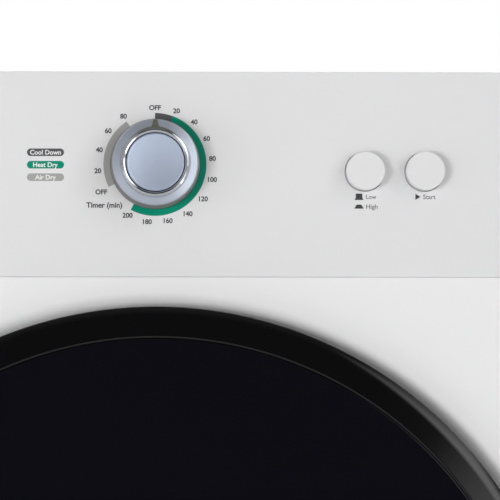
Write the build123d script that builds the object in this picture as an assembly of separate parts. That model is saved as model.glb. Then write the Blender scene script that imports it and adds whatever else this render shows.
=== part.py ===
from build123d import *

import os
from math import asin, cos, hypot, radians, sin, sqrt, tan

# Compact vented tumble dryer, in millimetres.
# +Z is up, the door faces -Y, +X is to the right of someone who stands in front of it.
# The origin is on the floor, below the middle of the cabinet.

# ---------------------------------------------------------------- driving dimensions
WIDTH = 600.0
HEIGHT = 680.0
FRONT_Y = -215.0            # outer face of the front panel and of the control panel
REAR_Y = 220.0              # outer face of the rear panel
SHEET = 1.0                 # steel sheet
GAP = 0.5                   # gap between neighbouring sheets
TOUCH = 0.1                 # gap between pieces that are screwed or clipped to each other
BASE_Z = 20.0               # underside of the base pan
AXIS_Z = 312.8              # door and drum axis
FASCIA_Z = 563.5            # lower edge of the control panel
SEAM = 0.3                  # seam between control panel and front panel
FASCIA_DEPTH = 24.0
FASCIA_WALL = 2.5

DOOR_R = 233.6
DOOR_WALL_R = 231.0         # side wall behind the flange that overlaps the recess
DOOR_FLANGE_Y = -211.5      # back of that flange
BAND_R = 215.8              # inner edge of the black band round the window
DOOR_CORNER_R = 1.5         # small outer rounding of the rim
DOOR_CORNER_Y = -233.0
DOOR_CORNER_TURN = 55.0     # degrees that the rim turns in its small rounding, before the shoulder
DOOR_SHOULDER_R = 17.0
BAND_LEAN = 14.0            # degrees that the band leans in from the shoulder to the window
BAND_STEP_R = 0.9           # width of the step beside the window
DOOR_BACK_Y = -206.0
DOOR_TIP_Y = -250.0
WINDOW_T = 3.5
WINDOW_EDGE_Y = -239.0
WINDOW_LEDGE_R = 206.0
POCKET_HALF = 48.0          # half height of the finger pocket
POCKET_Y = (-230.0, -211.5)
POCKET_WALL = 2.0
OPENING_R = 185.0           # loading opening in the front panel
RECESS_R = 244.5            # where the front panel starts to roll in round the door
RECESS_ROLL = 13.5
RECESS_TURN = 75.0          # how far the sheet turns, in degrees, before it turns back to the floor
RECESS_Y = -201.0           # floor of the recess behind the door

HINGE_X = -225.0
HINGE_Y = -225.0
HINGE_PIN_R = 3.0
RUNNING = 0.05              # radial clearance of a running fit
PRESS_FIT = 0.02            # radial clearance of a piece pressed or glued on
HINGE_NOTCH = 42.0          # half height of the notch that the hinge turns in
HINGE_ARM_Z = 25.0          # the cabinet's two arms, above and below the axis
HINGE_KNUCKLE_Z = 33.0      # the door's two knuckles, outside the arms
HINGE_T = 3.0
HINGE_PLATE_HALF = 40.0
LATCH_X = 197.0

DRUM_R = 272.0
DRUM_FRONT_Y = -161.0
DRUM_BACK_Y = 147.0
NECK_R = 222.0
NECK_Y = -186.0
BULKHEAD_Y = -189.4
REAR_BULKHEAD_Y = 151.0
AXLE_R = 8.0
FAN_AXLE_R = 6.0

KNOB_X = -0.6
KNOB_Z = 627.3
KNOB_R = 25.5
KNOB_FACE_R = 24.5
KNOB_FACE_Y = -236.2
KNOB_TIP_Y = -240.0
SHAFT_R = 3.0
BUTTON_Z = 623.4
HEAT_BUTTON_X = 118.5
START_BUTTON_X = 152.5
BUTTON_R = 11.0
BUTTON_TIP_Y = -226.0
GUIDE_R = 11.3

MOTOR_X = 242.0
MOTOR_Z = 78.0
MOTOR_R = 52.0
MOTOR_SHAFT_R = 5.0
DRIVE_R = 8.0               # small pulley that drives the drum belt
FAN_DRIVE_R = 40.0
FAN_PULLEY_R = 25.0
FAN_PULLEY_Y = (203.0, 213.0)
BELT_GAP = 0.1
DRUM_BELT_Y = -36.0
DRUM_BELT_W = 12.0
DRUM_BELT_T = 2.0
FAN_BELT_Y = 205.0
FAN_BELT_W = 6.2
FAN_BELT_T = 2.5
IDLER_R = 14.0
IDLER_ALONG = 104.0         # how far along the lower belt span the idler runs
IDLER_PIVOT = (196.0, 38.0)

FAN_CASE_R = 122.0
FAN_CASE_Y = (152.2, 198.0)
EXHAUST_X = -63.0
EXHAUST_Z = 145.0
EXHAUST_R = 50.0
EXHAUST_END_Y = 250.0
DUCT_HALF = 55.0

FOOT_X = 250.0
FRONT_FOOT_Y = -165.0
REAR_FOOT_Y = 180.0
STUD_R = 4.0
SCREW_R = 1.6
SCREW_HOLE_R = 1.8
HEAD_R = 4.0

SIDE_IN = WIDTH / 2 - SHEET
BOARD_X = SIDE_IN - 0.7     # half width of the bulkheads
PANEL_BACK_Y = FRONT_Y + FASCIA_DEPTH
CABINET_Y = PANEL_BACK_Y + GAP
GLAND = (-270.0, 80.0)
WALL_HOLE_X = 240.0
WALL_HOLE_Z = 640.0
WALL_HOLE_R = 2.5


# ---------------------------------------------------------------- shared shapes
def block(x0, x1, y0, y1, z0, z1):
    """A box given by its lowest and highest corners."""
    return Pos((x0 + x1) / 2, (y0 + y1) / 2, (z0 + z1) / 2) * Box(x1 - x0, y1 - y0, z1 - z0)


def rod_y(radius, y0, y1, x=0.0, z=AXIS_Z):
    """A round bar along Y."""
    turned = Rot(90, 0, 0) * Cylinder(radius, y1 - y0)
    return Pos(x, (y0 + y1) / 2, z) * turned


def tube_y(outer, inner, y0, y1, x=0.0, z=AXIS_Z):
    """A round tube along Y."""
    return rod_y(outer, y0, y1, x, z) - rod_y(inner, y0 - 1, y1 + 1, x, z)


def rod_z(radius, z0, z1, x, y):
    """A round bar along Z."""
    return Pos(x, y, (z0 + z1) / 2) * Cylinder(radius, z1 - z0)


def turned_y(points, x=0.0, z=AXIS_Z):
    """A solid turned about a Y axis from a closed outline of (radius, y) points."""
    face = make_face(Polyline(*points, close=True))
    return Pos(x, 0, z) * revolve(face, Axis.Y)


def spun_sheet(points, bend, x=0.0, z=AXIS_Z):
    """Sheet metal turned about a Y axis, with its middle line through (radius, y) points."""
    line = FilletPolyline(*points, radius=bend)
    return Pos(x, 0, z) * revolve(trace(line, line_width=SHEET), Axis.Y)


def xz_prism(sketch, y0, y1):
    """A sketch drawn in X and Z, carried along Y from y0 to y1."""
    face = Plane.XZ * sketch
    return Pos(0, y1, 0) * extrude(face, amount=y1 - y0)


def tray(x, y0, y1, z0, z1, wall, open_side, corner):
    """A five-sided shell of sheet with its open side towards 'back', 'bottom' or 'top'."""
    outer = block(-x, x, y0, y1, z0, z1)
    along = {"back": Axis.Y, "bottom": Axis.Z, "top": Axis.Z}[open_side]
    outer = fillet(outer.edges().filter_by(along), corner)
    if open_side == "back":
        edges = outer.faces().sort_by(Axis.Y)[0].edges()
        space = block(-x + wall, x - wall, y0 + wall, y1 + 1, z0 + wall, z1 - wall)
    elif open_side == "bottom":
        edges = outer.faces().sort_by(Axis.Z)[-1].edges()
        space = block(-x + wall, x - wall, y0 + wall, y1 - wall, z0 - 1, z1 - wall)
    else:
        edges = outer.faces().sort_by(Axis.Z)[0].edges()
        space = block(-x + wall, x - wall, y0 + wall, y1 - wall, z0 + wall, z1 + 1)
    return fillet(edges, corner * 0.6) - space


def drilled(piece, places, radius, y0, y1):
    """The piece with round holes along Y at (x, z) places."""
    for x, z in places:
        piece = piece - rod_y(radius, y0, y1, x, z)
    return piece


def save(name, piece):
    """Writes one node's STEP file."""
    if isinstance(piece, (list, ShapeList)):
        piece = Compound(children=list(piece))
    piece.label = name
    export_step(piece, f"parts/{name}.step")


# ---------------------------------------------------------------- screw positions
REAR_SCREWS = [(x, z) for x in (-291.5, 291.5) for z in (70, 250, 430, 610)]
COVER = (8.0, 282.0, 38.0, 382.0)
COVER_SCREWS = [(x, z) for x in (14.5, 275.5) for z in (54, 210, 366)]
DOOR_SCREW_PCR = 224.0
DOOR_SCREW_ANGLES = [22.5 + 45 * k for k in range(8)]


def door_screw_places():
    """Centres of the screws that hold the door's inner frame, as (x, z)."""
    return [(DOOR_SCREW_PCR * cos(radians(a)), AXIS_Z + DOOR_SCREW_PCR * sin(radians(a)))
            for a in DOOR_SCREW_ANGLES]


# ---------------------------------------------------------------- cabinet
def base_pan():
    pan = tray(SIDE_IN - 0.6, CABINET_Y, REAR_Y - 1.6, BASE_Z, BASE_Z + 25, SHEET, "top", 3)
    for x in (-FOOT_X, FOOT_X):
        pan = pan - rod_z(STUD_R + 2 * RUNNING, BASE_Z - 1, BASE_Z + 2, x, FRONT_FOOT_Y)
    return pan


def side_panel(side):
    """A side panel, with a flange turned in at its front and rear edges above the base pan."""
    low, high, turn = BASE_Z + GAP, HEIGHT - 16 - GAP, 15.0
    y0, y1 = CABINET_Y, REAR_Y - SHEET - GAP
    panel = block(SIDE_IN, SIDE_IN + SHEET, y0, y1, low, high)
    panel = panel + block(SIDE_IN - turn, SIDE_IN + SHEET, y0, y0 + SHEET, BASE_Z + 26, high)
    panel = panel + block(SIDE_IN - turn, SIDE_IN + SHEET, y1 - SHEET, y1, BASE_Z + 26, high)
    panel = drilled(panel, [s for s in REAR_SCREWS if s[0] > 0], SCREW_HOLE_R, y1 - 3, y1 + 3)
    return panel if side > 0 else mirror(panel, Plane.YZ)


def top_panel():
    return tray(WIDTH / 2, CABINET_Y, REAR_Y, HEIGHT - 16, HEIGHT, SHEET, "bottom", 4)


def rear_panel():
    """Rear panel with holes for the exhaust collar, cord gland and wall bracket, and louvres."""
    panel = block(-WIDTH / 2, WIDTH / 2, REAR_Y - SHEET, REAR_Y, BASE_Z + GAP, HEIGHT - 16 - GAP)
    through = (REAR_Y - 3, REAR_Y + 3)
    panel = panel - rod_y(EXHAUST_R + 1.5, *through, EXHAUST_X, EXHAUST_Z)
    panel = panel - rod_y(9.2, *through, *GLAND)
    panel = panel - block(COVER[0] + 14, COVER[1] - 14, *through, COVER[2] + 16, COVER[3] - 16)
    for row in range(6):
        z = 470 + row * 22
        for x in (-150, 150):
            panel = panel - block(x - 60, x + 60, *through, z, z + 5)
    panel = drilled(panel, REAR_SCREWS + COVER_SCREWS, SCREW_HOLE_R, *through)
    return drilled(panel, [(-WALL_HOLE_X, WALL_HOLE_Z), (WALL_HOLE_X, WALL_HOLE_Z)], WALL_HOLE_R, *through)


def rear_access_cover():
    """Flat service cover over the fan belt, with intake slots."""
    y0, y1 = REAR_Y + TOUCH, REAR_Y + TOUCH + SHEET
    cover = block(COVER[0], COVER[1], y0, y1, COVER[2], COVER[3])
    for row in range(9):
        z = 80 + row * 30
        cover = cover - block(60, 230, y0 - 1, y1 + 1, z, z + 6)
    return drilled(cover, COVER_SCREWS, SCREW_HOLE_R, y0 - 1, y1 + 1)


def turned_arc(centre_r, centre_y, radius, start, end):
    """An arc in (radius, y) about a centre, its angles in radians, outward from straight ahead of it."""
    turns = (start, (start + end) / 2, end)
    points = [(centre_r + radius * sin(t), centre_y - radius * cos(t)) for t in turns]
    return ThreePointArc(*points)


def front_panel():
    """Front panel: a shallow tray with a rolled round recess and a flanged loading opening."""
    panel = tray(WIDTH / 2, FRONT_Y, PANEL_BACK_Y, BASE_Z + 2, FASCIA_Z - SEAM, SHEET, "back", 3)
    panel = panel - rod_y(RECESS_R, FRONT_Y - 1, PANEL_BACK_Y - 2)
    turn = radians(RECESS_TURN)
    centres_apart = (RECESS_Y - FRONT_Y) / (1 - cos(turn))
    roll = turned_arc(RECESS_R, FRONT_Y + RECESS_ROLL, RECESS_ROLL - SHEET / 2, 0, -turn)
    toe_r, toe_y = RECESS_R - centres_apart * sin(turn), FRONT_Y + RECESS_ROLL - centres_apart * cos(turn)
    toe = turned_arc(toe_r, toe_y, RECESS_ROLL - SHEET / 2 - centres_apart, -turn, 0)
    floor = FilletPolyline(
        toe @ 1,
        (OPENING_R + SHEET / 2, RECESS_Y + SHEET / 2),
        (OPENING_R + SHEET / 2, PANEL_BACK_Y),
        radius=2.5,
    )
    dish = revolve(trace(Curve() + roll + toe + floor, line_width=SHEET), Axis.Y)
    panel = panel + Pos(0, 0, AXIS_Z) * dish
    through = (RECESS_Y - 1, RECESS_Y + 2)
    for side in (-1, 1):
        z = AXIS_Z + side * HINGE_ARM_Z
        panel = panel - block(-223, -203, *through, z - 2.2, z + 2.2)
    return panel - block(LATCH_X - 6, LATCH_X + 9, *through, AXIS_Z - 9, AXIS_Z + 9)


def control_panel():
    """Moulded control panel with a shaft hole and two guide tubes for the push buttons."""
    panel = tray(WIDTH / 2, FRONT_Y, PANEL_BACK_Y, FASCIA_Z, HEIGHT, FASCIA_WALL, "back", 3)
    back = FRONT_Y + FASCIA_WALL
    for x in (HEAT_BUTTON_X, START_BUTTON_X):
        panel = panel + rod_y(GUIDE_R + 1.5, back, back + 8, x, BUTTON_Z)
        panel = panel - rod_y(GUIDE_R, FRONT_Y - 1, back + 9, x, BUTTON_Z)
    return panel - rod_y(5, FRONT_Y - 1, back + 1, KNOB_X, KNOB_Z)


def cord_gland():
    """Flanged bush in the rear panel that the supply lead passes through."""
    x, z = GLAND
    outline = [(5, REAR_Y - 15), (9, REAR_Y - 15), (9, REAR_Y + TOUCH), (12, REAR_Y + TOUCH),
               (12, REAR_Y + 3), (10, REAR_Y + 6), (5, REAR_Y + 6)]
    return turned_y(outline, x, z)


def screw_y(x, z, seat_y, outward, length):
    """A pan-head screw along Y, its head standing 'outward' (-1 or +1) of seat_y."""
    tip = seat_y - outward * length
    head = seat_y + outward * 2
    shank = rod_y(SCREW_R, min(seat_y, tip), max(seat_y, tip), x, z)
    return shank + rod_y(HEAD_R, min(seat_y, head), max(seat_y, head), x, z)


def cabinet_screws():
    rear = [screw_y(x, z, REAR_Y, 1, 6) for x, z in REAR_SCREWS]
    cover = [screw_y(x, z, REAR_Y + TOUCH + SHEET, 1, 5) for x, z in COVER_SCREWS]
    return rear + cover


def front_foot(x):
    """Levelling foot: a pad with a hexagon and a threaded stud."""
    hexagon = extrude(RegularPolygon(8, 6), 5)
    pad = rod_z(18, 0, 8, x, FRONT_FOOT_Y)
    return pad + Pos(x, FRONT_FOOT_Y, 8) * hexagon + rod_z(STUD_R, 12, 40, x, FRONT_FOOT_Y)


def rear_feet():
    tall = BASE_Z - TOUCH
    return [Pos(x, REAR_FOOT_Y, tall / 2) * Cone(18, 15, tall) for x in (-FOOT_X, FOOT_X)]


# ---------------------------------------------------------------- controls
def timer_body():
    """Clockwork timer, with a bore that the knob's shaft turns in."""
    half = 27
    y0 = FRONT_Y + FASCIA_WALL + TOUCH
    body = block(KNOB_X - half, KNOB_X + half, y0, -165, KNOB_Z - half, KNOB_Z + half)
    return body - rod_y(SHAFT_R + RUNNING, FRONT_Y, -171, KNOB_X, KNOB_Z)


def timer_shaft():
    return rod_y(SHAFT_R, KNOB_TIP_Y + 4, -172, KNOB_X, KNOB_Z)


def knob_skirt():
    """Flared skirt of the timer knob, with its hub, hollow behind."""
    wall = 1.9
    outline = [(SHAFT_R + PRESS_FIT / 2, -216.5), (7, -216.5), (7, -233), (KNOB_FACE_R - wall, -233),
               (KNOB_R - wall, -216), (KNOB_R, -216), (KNOB_FACE_R, KNOB_FACE_Y + 1),
               (KNOB_FACE_R - 1, KNOB_FACE_Y), (SHAFT_R + PRESS_FIT / 2, KNOB_FACE_Y)]
    return turned_y(outline, KNOB_X, KNOB_Z)


def knob_cap():
    """Face of the knob: a flat disc in a bright ring, with a groove between the two."""
    outline = [(0, -236.3), (19.4, -236.3), (19.4, -238.4), (18.2, -239.8), (17.4, -239.6),
               (16.8, -238.2), (16.2, -238.2), (15.8, -239.4), (15.2, KNOB_TIP_Y), (0, KNOB_TIP_Y)]
    return turned_y(outline, KNOB_X, KNOB_Z)


def push_button(x):
    """Round push button with a stem at its back."""
    cap = rod_y(BUTTON_R, BUTTON_TIP_Y, -201, x, BUTTON_Z)
    cap = fillet(cap.faces().sort_by(Axis.Y)[0].edges(), 1.2)
    return cap + rod_y(3, -201, -188, x, BUTTON_Z)


def panel_switch(x):
    """Switch block that clips over a button's guide tube."""
    half, back = 15, -170
    body = block(x - half, x + half, FRONT_Y + FASCIA_WALL + TOUCH, back, BUTTON_Z - half, BUTTON_Z + half)
    body = body - rod_y(GUIDE_R + 1.9, FRONT_Y, -195, x, BUTTON_Z)
    body = body - rod_y(3.4, -196, -182, x, BUTTON_Z)
    pins = [block(x + s - 0.4, x + s + 0.4, back, back + 8, BUTTON_Z - 3, BUTTON_Z + 3) for s in (-8, 8)]
    return body + pins


# ---------------------------------------------------------------- door
def window_y(radius):
    """Front surface of the domed window at a given radius."""
    rise = WINDOW_EDGE_Y - DOOR_TIP_Y
    ball_r = (BAND_R ** 2 + rise ** 2) / (2 * rise)
    return DOOR_TIP_Y + ball_r - sqrt(ball_r ** 2 - radius ** 2)


def door_ring():
    """Gloss black rim of the door, with a hinge notch, a finger pocket and screw bosses."""
    ledge = window_y(BAND_R) + WINDOW_T + TOUCH
    steep, lean = radians(90 - DOOR_CORNER_TURN), radians(BAND_LEAN)
    corner = turned_arc(DOOR_R - DOOR_CORNER_R, DOOR_CORNER_Y, DOOR_CORNER_R, radians(90), steep)
    start = corner @ 1
    centre = (start.X - DOOR_SHOULDER_R * sin(steep), start.Y + DOOR_SHOULDER_R * cos(steep))
    shoulder = turned_arc(*centre, DOOR_SHOULDER_R, steep, lean)
    band = shoulder @ 1
    step_r = BAND_R + BAND_STEP_R
    inner_r = DOOR_WALL_R - 2.5
    rim = Polyline(band, (step_r, band.Y - (band.X - step_r) * tan(lean)), (BAND_R, WINDOW_EDGE_Y - 0.1),
                   (BAND_R, ledge), (WINDOW_LEDGE_R, ledge), (WINDOW_LEDGE_R, ledge + 2.5),
                   (222, ledge + 2.5), (226, -233), (inner_r, -228), (inner_r, DOOR_BACK_Y),
                   (DOOR_WALL_R, DOOR_BACK_Y),
                   (DOOR_WALL_R, DOOR_FLANGE_Y + 1.5), (DOOR_R, DOOR_FLANGE_Y), (DOOR_R, DOOR_CORNER_Y))
    ring = Pos(0, 0, AXIS_Z) * revolve(make_face(corner + shoulder + rim), Axis.Y)
    for x, z in door_screw_places():
        ring = ring + rod_y(4, -235, DOOR_BACK_Y - 2.6, x, z)
    ring = drilled(ring, door_screw_places(), SCREW_R + PRESS_FIT, -222, DOOR_BACK_Y)
    low, high = AXIS_Z - HINGE_NOTCH, AXIS_Z + HINGE_NOTCH
    ring = ring - block(-DOOR_R - 2, -204, -231.5, DOOR_BACK_Y + 1, low, high)
    y0, y1 = POCKET_Y
    half = POCKET_HALF + POCKET_WALL
    cup = block(214, DOOR_R, y0 - POCKET_WALL, y1 + POCKET_WALL, AXIS_Z - half, AXIS_Z + half)
    cup = cup & rod_y(DOOR_R, -240, -200)
    return ring + cup - block(216, DOOR_R + 5, y0, y1, AXIS_Z - POCKET_HALF, AXIS_Z + POCKET_HALF)


def door_window():
    """Domed tinted window: the space between two balls of nearly the same size."""
    edge = BAND_R - 0.3
    front = ThreePointArc((edge, window_y(edge)), (edge / 2, window_y(edge / 2)), (0, DOOR_TIP_Y))
    back = ThreePointArc((0, DOOR_TIP_Y + WINDOW_T), (edge / 2, window_y(edge / 2) + WINDOW_T),
                         (edge, window_y(edge) + WINDOW_T))
    sides = Line((0, DOOR_TIP_Y), (0, DOOR_TIP_Y + WINDOW_T)) + Line((edge, window_y(edge) + WINDOW_T),
                                                                   (edge, window_y(edge)))
    return Pos(0, 0, AXIS_Z) * revolve(make_face(front + back + sides), Axis.Y)


def door_inner_frame():
    """Ring-shaped back of the door, cut away round the hinge."""
    rim = DOOR_WALL_R - 2.8
    outline = [(170, DOOR_BACK_Y - 2.5), (rim, DOOR_BACK_Y - 2.5), (rim, DOOR_BACK_Y), (170, DOOR_BACK_Y)]
    frame = turned_y(outline)
    frame = frame - block(-DOOR_R, -204, -212, -200, AXIS_Z - HINGE_NOTCH, AXIS_Z + HINGE_NOTCH)
    frame = frame - block(LATCH_X - 3.5, LATCH_X + 5, -212, -200, AXIS_Z - 6.5, AXIS_Z + 6.5)
    return drilled(frame, door_screw_places(), SCREW_HOLE_R, -212, -200)


def door_inner_bowl():
    """Clear bowl that keeps the laundry off the door, held by its flange."""
    front = DOOR_BACK_Y - 2.6
    outline = [(180, front - 3.4), (180, front), (167, front), (166, -203), (141, -162), (132, -155.5),
               (100, -152), (0, -150), (0, -154), (99, -156), (129, -159), (137, -164), (162, -204),
               (162, front - 3.4)]
    return turned_y(outline)


def door_seal():
    """Soft ring on the door's back that closes against the recess floor."""
    outline = [(191, DOOR_BACK_Y + 0.05), (201, DOOR_BACK_Y + 0.05), (200, RECESS_Y - 1.2),
               (197, RECESS_Y - 0.3), (195, RECESS_Y - 0.3), (192, RECESS_Y - 1.2)]
    seal = turned_y(outline)
    return seal - block(LATCH_X - 6, LATCH_X + 6, -212, -200, AXIS_Z - 8, AXIS_Z + 8)


def hinge_tab(z0, z1, root):
    """A flat tab from the hinge pin to a root rectangle (x0, x1, y0, y1)."""
    x0, x1, y0, y1 = root
    foot = Pos((x0 + x1) / 2, (y0 + y1) / 2) * Rectangle(x1 - x0, y1 - y0)
    eye = Pos(HINGE_X, HINGE_Y) * Circle(6)
    return Pos(0, 0, z0) * extrude(make_hull((foot + eye).edges()), z1 - z0)


def hinge_bracket():
    """Cabinet half of the hinge: a plate behind the front panel, two arms and the riveted pin."""
    plate = block(-232, -200, RECESS_Y + SHEET + TOUCH, RECESS_Y + SHEET + 2.6, AXIS_Z - HINGE_PLATE_HALF,
                  AXIS_Z + HINGE_PLATE_HALF)
    for side in (-1, 1):
        z = AXIS_Z + side * HINGE_ARM_Z
        plate = plate + hinge_tab(z - HINGE_T / 2, z + HINGE_T / 2, (-219, -207, -202, -198))
    return plate + rod_z(HINGE_PIN_R, AXIS_Z - 38, AXIS_Z + 38, HINGE_X, HINGE_Y)


def door_hinge_leaf():
    """Door half of the hinge: a plate on the inner frame and two knuckles on the pin."""
    y1 = DOOR_BACK_Y - 2.6
    leaf = block(-203, -181, y1 - 2.4, y1, AXIS_Z - HINGE_PLATE_HALF,
                  AXIS_Z + HINGE_PLATE_HALF)
    for side in (-1, 1):
        z = AXIS_Z + side * HINGE_KNUCKLE_Z
        leaf = leaf + hinge_tab(z - HINGE_T / 2, z + HINGE_T / 2, (-204, -196, y1 - 2.4, y1))
    return leaf - rod_z(HINGE_PIN_R + RUNNING, AXIS_Z - 50, AXIS_Z + 50, HINGE_X, HINGE_Y)


def door_latch_hook():
    y1 = DOOR_BACK_Y - 2.6
    hook = block(LATCH_X - 10, LATCH_X + 12, y1 - 2.4, y1, AXIS_Z - 12, AXIS_Z + 12)
    hook = hook + block(LATCH_X - 3, LATCH_X + 3, y1 - 1, -184, AXIS_Z - 6, AXIS_Z + 6)
    return hook + block(LATCH_X - 3, LATCH_X + 4.5, -189, -185, AXIS_Z - 6, AXIS_Z + 6)


def latch_catch():
    y0 = RECESS_Y + SHEET + TOUCH
    body = block(LATCH_X - 8, LATCH_X + 12.5, y0, -177, AXIS_Z - 14, AXIS_Z + 14)
    return body - block(LATCH_X - 6, LATCH_X + 9, y0 - 1, -180, AXIS_Z - 9, AXIS_Z + 9)


def door_switch():
    body = block(LATCH_X - 8, LATCH_X + 10, -197, -178, AXIS_Z + 14.2, AXIS_Z + 26)
    places = (LATCH_X - 6, LATCH_X + 6)
    return body + [block(x, x + 0.8, -178, -172, AXIS_Z + 17, AXIS_Z + 23) for x in places]


def door_screws():
    return [screw_y(x, z, DOOR_BACK_Y, 1, 12) for x, z in door_screw_places()]


# ---------------------------------------------------------------- drum supports and air path
def front_bulkhead():
    """Board behind the front panel, with the collar that the drum's neck runs on."""
    y0, y1 = BULKHEAD_Y, BULKHEAD_Y + SHEET
    board = block(-BOARD_X, BOARD_X, y0, y1, BASE_Z + 26.5, 596)
    board = board + tube_y(NECK_R - 7.8, NECK_R - 8.8, y0, -163)
    board = board - rod_y(OPENING_R + 5, y0 - 1, y1 + 1)
    slot = block(196, 208, y0 - 1, y1 + 1, AXIS_Z - 8, AXIS_Z + 8)
    for step in range(20):
        turn = 18 * step + 36
        if turn % 360 not in (0, 18, 342, 180):
            board = board - Pos(0, 0, AXIS_Z) * Rot(0, turn, 0) * Pos(0, 0, -AXIS_Z) * slot
    board = board - block(LATCH_X - 12, LATCH_X + 14, y0 - 1, y1 + 1, AXIS_Z - 16, AXIS_Z + 28)
    return board - block(-286, -220, y0 - 1, y1 + 1, 50, 96)


def front_felt_seal():
    return tube_y(NECK_R - 1.5, NECK_R - 7.7, NECK_Y, -165)


def rear_bulkhead():
    """Board behind the drum, with a spider that holds the main shaft in the fan inlet."""
    y0, y1 = REAR_BULKHEAD_Y, REAR_BULKHEAD_Y + SHEET
    board = block(-BOARD_X, BOARD_X, y0, y1, BASE_Z + 26.5, 622)
    board = board - rod_y(80, y0 - 1, y1 + 1)
    spoke = block(-82, 82, y0, y1, AXIS_Z - 5, AXIS_Z + 5)
    spoke = spoke + block(-78, 78, y0, y0 + 3, AXIS_Z - 5, AXIS_Z + 5)
    for turn in (0, 45, 90, 135):
        board = board + Pos(0, 0, AXIS_Z) * Rot(0, turn, 0) * Pos(0, 0, -AXIS_Z) * spoke
    board = board + rod_y(18, y0, 160)
    board = board - rod_y(AXLE_R + PRESS_FIT, y0 - 5, 161)
    return board - rod_y(14, y0 - 1, y1 + 1, MOTOR_X, MOTOR_Z)


def rear_felt_seal():
    return tube_y(112, 100, DRUM_BACK_Y + 0.4, REAR_BULKHEAD_Y - TOUCH)


def main_shaft():
    """Stepped axle: the drum turns on its front end and the fan on its rear end."""
    outline = [(0, 118), (12, 118), (12, 122), (AXLE_R, 122), (AXLE_R, 160.5), (FAN_AXLE_R, 160.5),
               (FAN_AXLE_R, 213.3), (9, 213.3), (9, 216), (0, 216)]
    return turned_y(outline)


def fan_outline(inset):
    """Fan case seen from behind: a round chamber and a straight duct down to the outlet."""
    chamber = Pos(0, AXIS_Z) * Circle(FAN_CASE_R - inset)
    top, bottom = AXIS_Z, EXHAUST_Z - DUCT_HALF - 4
    wide, tall = 2 * (DUCT_HALF + 4 - inset), top - bottom - 2 * inset
    duct = Pos(EXHAUST_X, (top + bottom) / 2) * Rectangle(wide, tall)
    return chamber + duct


def fan_housing():
    y0, y1 = FAN_CASE_Y
    case = xz_prism(fan_outline(0), y0, y1) - xz_prism(fan_outline(2), y0 + 2, y1 + 1)
    return case - rod_y(80, y0 - 1, y0 + 3)


def fan_housing_cover():
    """Rear cover of the fan case, moulded in one with the exhaust collar."""
    y0 = FAN_CASE_Y[1] + 0.2
    cover = xz_prism(fan_outline(0), y0, y0 + 2)
    cover = cover + rod_y(EXHAUST_R, y0, EXHAUST_END_Y, EXHAUST_X, EXHAUST_Z)
    cover = cover + rod_y(EXHAUST_R + 1.3, y0, REAR_Y, EXHAUST_X, EXHAUST_Z)
    cover = cover - rod_y(EXHAUST_R - 2, y0 - 1, EXHAUST_END_Y + 1, EXHAUST_X, EXHAUST_Z)
    return cover - rod_y(14, y0 - 1, y0 + 3)


def heater_housing():
    outer = block(-290, -216, BULKHEAD_Y + SHEET + TOUCH, -70, 46, 100)
    return outer - block(-289, -217, -200, -60, 47, 99)


def heater_core():
    """Heater block: a frame with upright fins between its rails."""
    core = block(-288.5, -217.5, -150, -122, 47.5, 98.5)
    for k in range(12):
        x = -285.5 + k * 5.5
        core = core - block(x, x + 4.2, -151, -121, 51, 95)
    return core


# ---------------------------------------------------------------- drum
def drum_shell():
    mid_neck, mid_r = NECK_R - SHEET / 2, DRUM_R - SHEET / 2
    points = [(mid_neck, NECK_Y), (mid_neck, DRUM_FRONT_Y + SHEET / 2), (mid_r, DRUM_FRONT_Y + SHEET / 2),
              (mid_r, DRUM_BACK_Y + 0.5)]
    return spun_sheet(points, 5)


def drum_back():
    """Pressed back of the drum, with air holes that the lint filter covers."""
    points = [(30, DRUM_BACK_Y - SHEET / 2), (DRUM_R - SHEET - 0.8, DRUM_BACK_Y - SHEET / 2),
              (DRUM_R - SHEET - 0.8, DRUM_BACK_Y - 12)]
    back = spun_sheet(points, 3) + tube_y(31, 20.1, DRUM_BACK_Y - SHEET, DRUM_BACK_Y)
    for ring_r, count, hole_r in ((48, 10, 7), (68, 16, 8)):
        for k in range(count):
            turn = radians(360 / count * k)
            x, z = ring_r * cos(turn), AXIS_Z + ring_r * sin(turn)
            back = back - rod_y(hole_r, DRUM_BACK_Y - 3, DRUM_BACK_Y + 1, x, z)
    return back


def drum_hub():
    """Flanged bearing hub that turns on the main shaft."""
    bore = AXLE_R + RUNNING
    outline = [(bore, 123), (20, 123), (20, 139), (38, 142), (38, DRUM_BACK_Y - SHEET - TOUCH),
               (20, DRUM_BACK_Y - SHEET - TOUCH), (20, 150), (bore, 150)]
    return turned_y(outline)


def drum_baffles():
    """Three lifters along the drum wall."""
    foot, top = DRUM_R - 3.1, DRUM_R - 48
    outline = Polyline((-30, foot), (30, foot), (22, foot - 14), (9, top), (-9, top), (-22, foot - 14),
                       close=True)
    ridge = xz_prism(fillet(make_face(outline).vertices().group_by(Axis.Y)[0], 7), -150, 128)
    return [Pos(0, 0, AXIS_Z) * Rot(0, turn, 0) * ridge for turn in (60, 180, 300)]


def lint_filter_frame():
    """Round filter frame that pushes over the air holes, with a grip bar across its front."""
    frame = tube_y(97, 94, 110, DRUM_BACK_Y - SHEET - 0.2)
    for turn in (0, 60, 120):
        spoke = block(-95, 95, 110, 112.5, AXIS_Z - 2.5, AXIS_Z + 2.5)
        frame = frame + Pos(0, 0, AXIS_Z) * Rot(0, turn, 0) * Pos(0, 0, -AXIS_Z) * spoke
    frame = frame + rod_y(22, 110, 112.5)
    return frame + block(-18, 18, 103, 110, AXIS_Z - 3, AXIS_Z + 3)


def lint_filter_mesh():
    return rod_y(93.8, 112.6, 113.4)


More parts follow.
